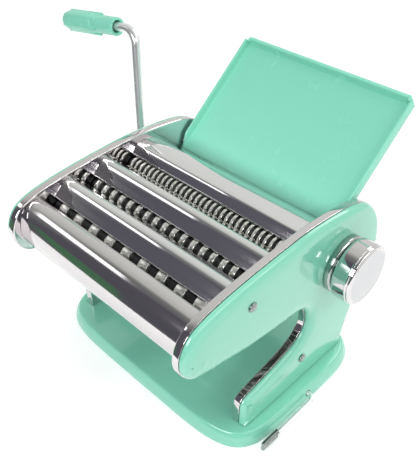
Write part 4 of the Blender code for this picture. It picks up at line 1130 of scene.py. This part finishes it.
# %% Knob
KNOB_SIDES = 128
dial_low, dial_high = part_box("dial_ring")
knob_low, knob_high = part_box("thickness_knob")
KNOB_PROUD = 0.0008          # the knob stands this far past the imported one's radius, as the photograph shows
KNOB_RADIUS = (knob_high.z - knob_low.z) / 2 + KNOB_PROUD
DIAL_RADIUS = (dial_high.z - dial_low.z) / 2
DIAL_BORE = 0.0120
SPINDLE_RADIUS = 0.0050
SATIN_RADIUS = KNOB_RADIUS - 0.0034
KNOB_BACK_RADIUS = 0.0186
outline = [(dial_low.x, DIAL_BORE), (dial_low.x, DIAL_RADIUS - 0.0003), (dial_low.x + 0.0003, DIAL_RADIUS),
           (dial_high.x - 0.0016, DIAL_RADIUS), (dial_high.x - 0.0003, DIAL_RADIUS - 0.0012),
           (dial_high.x, DIAL_RADIUS - 0.0024), (dial_high.x, DIAL_BORE)]
build("chrome_dial_ring", turned_ring(soften(outline, 0.0004, 3), roller_axis, KNOB_SIDES),
      dull_chrome, "machine", "chrome", "dial_ring")

back, face = knob_low.x, knob_high.x
bore_end = face - 0.0040
# Points round the cap's edge, as (distance from the back or from the face, distance inside the radius)
from_back = ((0.0008, 0.0008), (0.0016, 0.0002), (0.0030, 0.0001))
from_face = ((0.0042, 0.0001), (0.0036, 0.0), (0.0029, 0.0002), (0.0025, 0.0008), (0.0020, 0.0004),
             (0.0012, 0.0005), (0.0005, 0.0011), (0.0002, 0.0018), (0.0007, 0.0023), (0.0003, 0.0028))
cap = [(bore_end, 0), (bore_end, SPINDLE_RADIUS + GAP), (back, SPINDLE_RADIUS + GAP),
       (back, KNOB_BACK_RADIUS), (back + 0.0005, KNOB_BACK_RADIUS + 0.0004)]
cap += [(back + x, KNOB_RADIUS - inside) for x, inside in from_back]
cap += [(face - x, KNOB_RADIUS - inside) for x, inside in from_face]
cap += [(face, SATIN_RADIUS), (face, 0)]
made = build("chrome_knob_cap", turned(soften(cap, 0.0005, 3, closed=False), roller_axis, KNOB_SIDES),
             chrome, "knob", "chrome", "thickness_knob")
made.data.materials.append(satin_face)
satin_faces = 0
for polygon in made.data.polygons:
    reach = hypot(polygon.center.y - roller_axis.x, polygon.center.z - roller_axis.y)
    if polygon.normal.x > 0.99 and reach < SATIN_RADIUS and polygon.center.x > face - 0.0001:
        polygon.material_index = 1
        satin_faces += 1
print("Satin face of the knob:", satin_faces, "faces")

# %% [markdown]
# ## Crank
# A round chromed bar goes from its socket out past the cover, bends up, and bends again into the pin that
# the grip turns on. It is a bar along a path of straight runs and arcs. The grip is turned: a plain collar
# with a wide mouth, a step, and a body whose long ribs keep the hand from slipping.

# %% Crank
CRANK_ROD = 0.0036
CRANK_BEND = 0.0120
CRANK_STANDOFF = 0.0270
CRANK_ARM = 0.1012
CRANK_SPLAY = radians(9.5)
CRANK_TURN = radians(9.1)
CRANK_PIN = 0.0820
GRIP_LENGTH = 0.0715
GRIP_RADIUS = 0.0093
GRIP_START = 0.0217
GRIP_MOUTH = 0.0052
GRIP_MOUTH_DEPTH = 0.0090
GRIP_GAP = 0.0004
crank_foot = Vector((-(COVER_OUT + CRANK_STANDOFF), roller_axis.x, roller_axis.y))
radial = Vector((0, sin(CRANK_TURN), cos(CRANK_TURN)))
outward = Vector((-1, 0, 0))
crank_head = crank_foot + (radial * cos(CRANK_SPLAY) + outward * sin(CRANK_SPLAY)) * CRANK_ARM
pin_way = outward * cos(CRANK_SPLAY) - radial * sin(CRANK_SPLAY)
crank_start = Vector((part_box("crank_rod")[1].x, roller_axis.x, roller_axis.y))
path = rounded_path([crank_start, crank_foot, crank_head, crank_head + pin_way * CRANK_PIN], CRANK_BEND)
build("chrome_crank_rod", bent_bar(path, CRANK_ROD, 36), rod_chrome, "crank", "chrome", "crank_rod")

# %% Grip
GRIP_shares = ((0.0, 0.78), (0.012, 0.80), (0.05, 0.805), (0.24, 0.815), (0.385, 0.845), (0.396, 0.86),
               (0.402, 0.905), (0.43, 0.92), (0.62, 0.945), (0.82, 0.935), (0.89, 0.88), (0.94, 0.77),
               (0.975, 0.58), (0.992, 0.36), (1.0, 0.15), (1.0, 0.0))
grip_place = crank_head + pin_way * GRIP_START
grip_turn = Vector((1, 0, 0)).rotation_difference(pin_way).to_matrix().to_4x4()
grip_matrix = Matrix.Translation(grip_place) @ grip_turn
bore = CRANK_ROD + GRIP_GAP
bore_end = CRANK_PIN - GRIP_START + 2 * GAP
profile = [(bore_end, 0), (bore_end, bore), (GRIP_MOUTH_DEPTH, bore), (GRIP_MOUTH_DEPTH, GRIP_MOUTH),
           (0, GRIP_MOUTH)]
profile += [(a * GRIP_LENGTH, b * GRIP_RADIUS) for a, b in GRIP_shares]
made = make_object("mint_crank_grip", turned(soften(profile, 0.0008, 4, closed=False), (0, 0), 72))
made.data.transform(grip_matrix)
seat(made, plastic, "grip", "mint_plastic", "crank_grip")

RIB_COUNT = 6
RIB_LENGTH = 0.0440
RIB_WIDTH = 0.0030
RIB_START = 0.0205
RIB_FOOT = 0.0022


def make_rib_tree():
    """Copies of one rib round the X axis."""
    tree, given, result = new_tree("ribs_round_an_axis", Count="Int", Radius="Float", Copy="Object",
                                   Finish="Material")
    circle = new_node(tree, "GeometryNodeMeshCircle", Vertices=given.outputs["Count"],
                      Radius=given.outputs["Radius"])
    upright = new_node(tree, "GeometryNodeTransform", Geometry=circle.outputs["Mesh"],
                       Rotation=(0.0, pi / 2, 0.0))
    info = new_node(tree, "GeometryNodeObjectInfo", Object=given.outputs["Copy"])
    position = new_node(tree, "GeometryNodeInputPosition")
    facing = new_node(tree, "FunctionNodeAlignEulerToVector", axis="Z", pivot_axis="X",
                      Vector=position.outputs[0])
    copies = new_node(tree, "GeometryNodeInstanceOnPoints", Points=upright.outputs["Geometry"],
                      Instance=info.outputs["Geometry"], Rotation=facing.outputs[0])
    return close_tree(tree, copies.outputs[0], given, result)


rib_tree = make_rib_tree()
outline = soften([(-RIB_WIDTH / 2, -RIB_FOOT), (RIB_WIDTH / 2, -RIB_FOOT), (RIB_WIDTH / 2 * 0.55, 0),
                  (-RIB_WIDTH / 2 * 0.55, 0)], 0.0005, 3)
rib = make_object("rib_pattern", drawn_out(outline, RIB_START, RIB_START + RIB_LENGTH, 0.0006, 4))
made = grow("grip_ribs", rib_tree, Count=RIB_COUNT, Radius=GRIP_RADIUS, Copy=rib, Finish=plastic)
made.data.transform(grip_matrix)
seat(made, plastic, "grip", "mint_plastic")
bpy.data.objects.remove(rib)

# %% [markdown]
# ## Tray
# The tray carries the sheet of dough down to the rollers. It is a shallow moulding with two side walls, an
# open mouth, and a lip along the top that stands a little inside the walls' ends. It is lofted through
# stations up the slope, and each station is one cross-section: the walls grow at the mouth, and the lip
# rises out of the floor.

# %% Tray
TRAY_WIDTH = 0.156
TRAY_LENGTH = 0.107
TRAY_FLOOR = 0.0022
TRAY_WALL = 0.0020
TRAY_RIM = 0.0086
TRAY_MOUTH = 0.0003          # height of the walls over the floor at the open mouth
TRAY_SLOPE = radians(39.7)
TRAY_Y = 0.0468
TRAY_Z = 0.1220
TRAY_NOTCH = 0.0054
TRAY_NOTCH_STEP = 0.0024
TRAY_CORNER = 0.0032
TRAY_LIP = 0.0038
LIP_RISE = 0.0014            # the lip rises out of the floor over this length
LIP_SHARE = 0.97             # the lip's height over the floor, against the walls'
MOUTH_RISE = 0.012           # the walls grow to their height over this length
TRAY_NOTCH_DROP = 0.0006


def tray_point(x, along, up):
    return Vector((x, TRAY_Y + along * cos(TRAY_SLOPE) - up * sin(TRAY_SLOPE),
                   TRAY_Z + along * sin(TRAY_SLOPE) + up * cos(TRAY_SLOPE)))


def tray_section(along, past_notch=False):
    """Cross-section at a distance up the slope, as (x, up) points."""
    half = TRAY_WIDTH / 2
    wall = TRAY_FLOOR + TRAY_MOUTH + (TRAY_RIM - TRAY_FLOOR - TRAY_MOUTH) * ease(along / MOUTH_RISE)
    if past_notch:
        into_corner = max(0.0, along - (TRAY_LENGTH - TRAY_CORNER))
        rounded = TRAY_CORNER - sqrt(max(0.0, TRAY_CORNER ** 2 - into_corner ** 2))
        half -= TRAY_NOTCH_STEP + rounded
        wall -= TRAY_NOTCH_DROP + rounded
    rise = ease((along - (TRAY_LENGTH - TRAY_LIP - LIP_RISE)) / LIP_RISE)
    floor = TRAY_FLOOR + (wall - TRAY_FLOOR) * LIP_SHARE * rise
    corners = [(-half, 0), (half, 0), (half, wall), (half - TRAY_WALL, wall),
               (half - TRAY_WALL * 1.2, floor), (-half + TRAY_WALL * 1.2, floor),
               (-half + TRAY_WALL, wall), (-half, wall)]
    return soften(corners, 0.0009, 4)


stations = [0, 0.0003, 0.0012, 0.003, 0.006, 0.009, 0.012, 0.02, 0.04, 0.06, 0.08, 0.095]
stations += [TRAY_LENGTH - TRAY_LIP - LIP_RISE + 0.0002 * k for k in range(5)]
sections = [(along, False) for along in stations]
sections += [(TRAY_LENGTH - TRAY_NOTCH + 0.00025 * k, True) for k in range(5)]
sections += [(TRAY_LENGTH - TRAY_CORNER + TRAY_CORNER * sin(pi / 2 * k / 6), True) for k in range(7)]
build("mint_dough_tray", loft([[tray_point(x, along, up) for x, up in tray_section(along, past)]
                               for along, past in sections]), plastic, "tray", "mint_plastic", "dough_tray")

# %% [markdown]
# ## Base
# The moulded base is a rounded rectangle with slightly bowed sides. Its rim rises, draws in a little and
# turns over a tight crease into the flat top, and the crease catches a thin line of light. A superellipse
# gives the bowed outline from one formula, and the rim is a curve through a few heights.

# %% Base
BASE_HALF_WIDTH = 0.1035
BASE_HALF_DEPTH = 0.0750
BASE_Y = -0.0052
BASE_HEIGHT = 0.0125
BASE_WALL = 0.002
BASE_CREASE = 0.0045
BASE_CORNER_POWER = 5.5
BASE_POINTS = 200


def base_loop(z, draw_in):
    loop = []
    for i in range(BASE_POINTS):
        angle = 2 * pi * (i + 0.5) / BASE_POINTS
        power = BASE_CORNER_POWER
        reach = (abs(cos(angle)) ** power + abs(sin(angle)) ** power) ** (-1 / power)
        loop.append(((BASE_HALF_WIDTH - draw_in) * reach * cos(angle),
                     BASE_Y + (BASE_HALF_DEPTH - draw_in) * reach * sin(angle), z))
    return loop


shoulder = smooth_curve([(0.0, 0.0009), (0.0006, 0.0002), (0.0030, 0.0), (0.0060, 0.0005), (0.0090, 0.0015),
                         (0.0110, 0.0025), (0.0118, 0.0030), (0.0123, 0.0036), (0.0125, 0.0045)], 4)
roof = BASE_HEIGHT - BASE_WALL
levels = [(roof, 3 * BASE_CREASE), (roof, BASE_CREASE + 2 * BASE_WALL), (0.0055, BASE_WALL), (0.0, BASE_WALL)]
levels += [tuple(p) for p in shoulder] + [(BASE_HEIGHT, 0.0074), (BASE_HEIGHT, 0.0100)]
made = make_object("enamel_base_shell", loft([base_loop(z, draw_in) for z, draw_in in levels]))
LEVER_Y = -0.0015
LEVER_Z = 0.0070
LEVER_RADIUS = 0.0019
LEVER_HOLE_REACH = 0.012
cut_away(made, [round_tool((LEVER_Y, LEVER_Z), LEVER_RADIUS + 2 * GAP, BASE_HALF_WIDTH - LEVER_HOLE_REACH,
                           BASE_HALF_WIDTH + OVERRUN)])
seat(made, enamel, "machine", "mint_enamel", "base_shell")

# %% [markdown]
# ## Suction lever
# A bent rod comes out of the base and ends in a pressed pad with fine ribs for the thumb. Turning it lifts
# the plunger and draws the suction pad up. The rod is a bar along a path again, and the ribs are a row of
# copies.

# %% Suction lever
LEVER_OUT = 0.0046
LEVER_REACH = 0.042
LEVER_BEND = 0.0045
LEVER_INNER = 0.012          # the rod begins this far past the machine's middle
lever_x = BASE_HALF_WIDTH + LEVER_OUT
path = rounded_path([(-LEVER_INNER, LEVER_Y, LEVER_Z), (lever_x, LEVER_Y, LEVER_Z),
                     (lever_x, LEVER_Y - LEVER_REACH, LEVER_Z)], LEVER_BEND)
build("chrome_suction_lever", bent_bar(path, LEVER_RADIUS, 28),
      rod_chrome, "lever", "chrome", "suction_lever")

pad_low, pad_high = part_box("lever_grip_pad")
THUMB_RIBS = 11
RIB_STAND = 0.0006
pad_face = pad_high.x - RIB_STAND
plan = soften([(pad_low.x, pad_low.y), (pad_face, pad_low.y), (pad_face, pad_high.y),
               (pad_low.x, pad_high.y)], 0.0009, 4)
levels = [(pad_low.z + z, inset) for z, inset in ((0.0, 0.0006), (0.0002, 0.0002), (0.0006, 0.0))]
levels += [(pad_low.z + pad_high.z - z, inset) for z, inset in levels[::-1]]
normals = left_normals(plan)
build("chrome_thumb_pad", loft([[(p.x + n.x * inset, p.y + n.y * inset, z)
                                 for p, n in zip(plan, normals)] for z, inset in levels]),
      dark_nickel, "lever", "chrome", "lever_grip_pad")
step = (pad_high.y - pad_low.y) / (THUMB_RIBS + 1)
rib_section = soften([(-step * 0.3, -0.0003), (step * 0.3, -0.0003), (step * 0.16, RIB_STAND),
                      (-step * 0.16, RIB_STAND)], 0.0003, 2)
half_height = (pad_high.z - pad_low.z) / 2 - 0.0009
rib = make_object("rib_pattern", loft([[(u, y, z) for y, u in rib_section]
                                       for z in (-half_height, half_height)]))
made = grow("thumb_pad_ribs", row_tree, Count=THUMB_RIBS, Step=(0.0, step, 0.0),
            Start=(pad_face, pad_low.y + step, (pad_low.z + pad_high.z) / 2),
            Copy=rib, Finish=dull_chrome)
seat(made, dull_chrome, "lever", "chrome")
bpy.data.objects.remove(rib)

# %% [markdown]
# ## What stays from the model
# The gears, the spindle, the base plate, the plunger and the pad are hidden or nearly so, and their packed
# shapes are right as they are. They keep their meshes and get a finish of their own.

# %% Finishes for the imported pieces
KEPT = {"knob_spindle": gear_steel, "base_plate": plate_steel, "suction_plunger": plate_steel,
        "suction_pad": rubber, "front_roller_gear": gear_steel, "back_roller_gear": gear_steel}
for shaft in shafts:
    KEPT["%s_gear_%s" % shaft] = gear_steel
for node, material in KEPT.items():
    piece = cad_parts[node]
    piece.data.materials.clear()
    piece.data.materials.append(material)
left_over = [name for name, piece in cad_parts.items() if not piece.hide_render and name not in KEPT]
print("Kept", len(KEPT), "packed pieces; without a finish:", left_over)

# %% [markdown]
# ## Size
# The box round all the finished pieces is measured.

# %% Size
low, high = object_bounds()
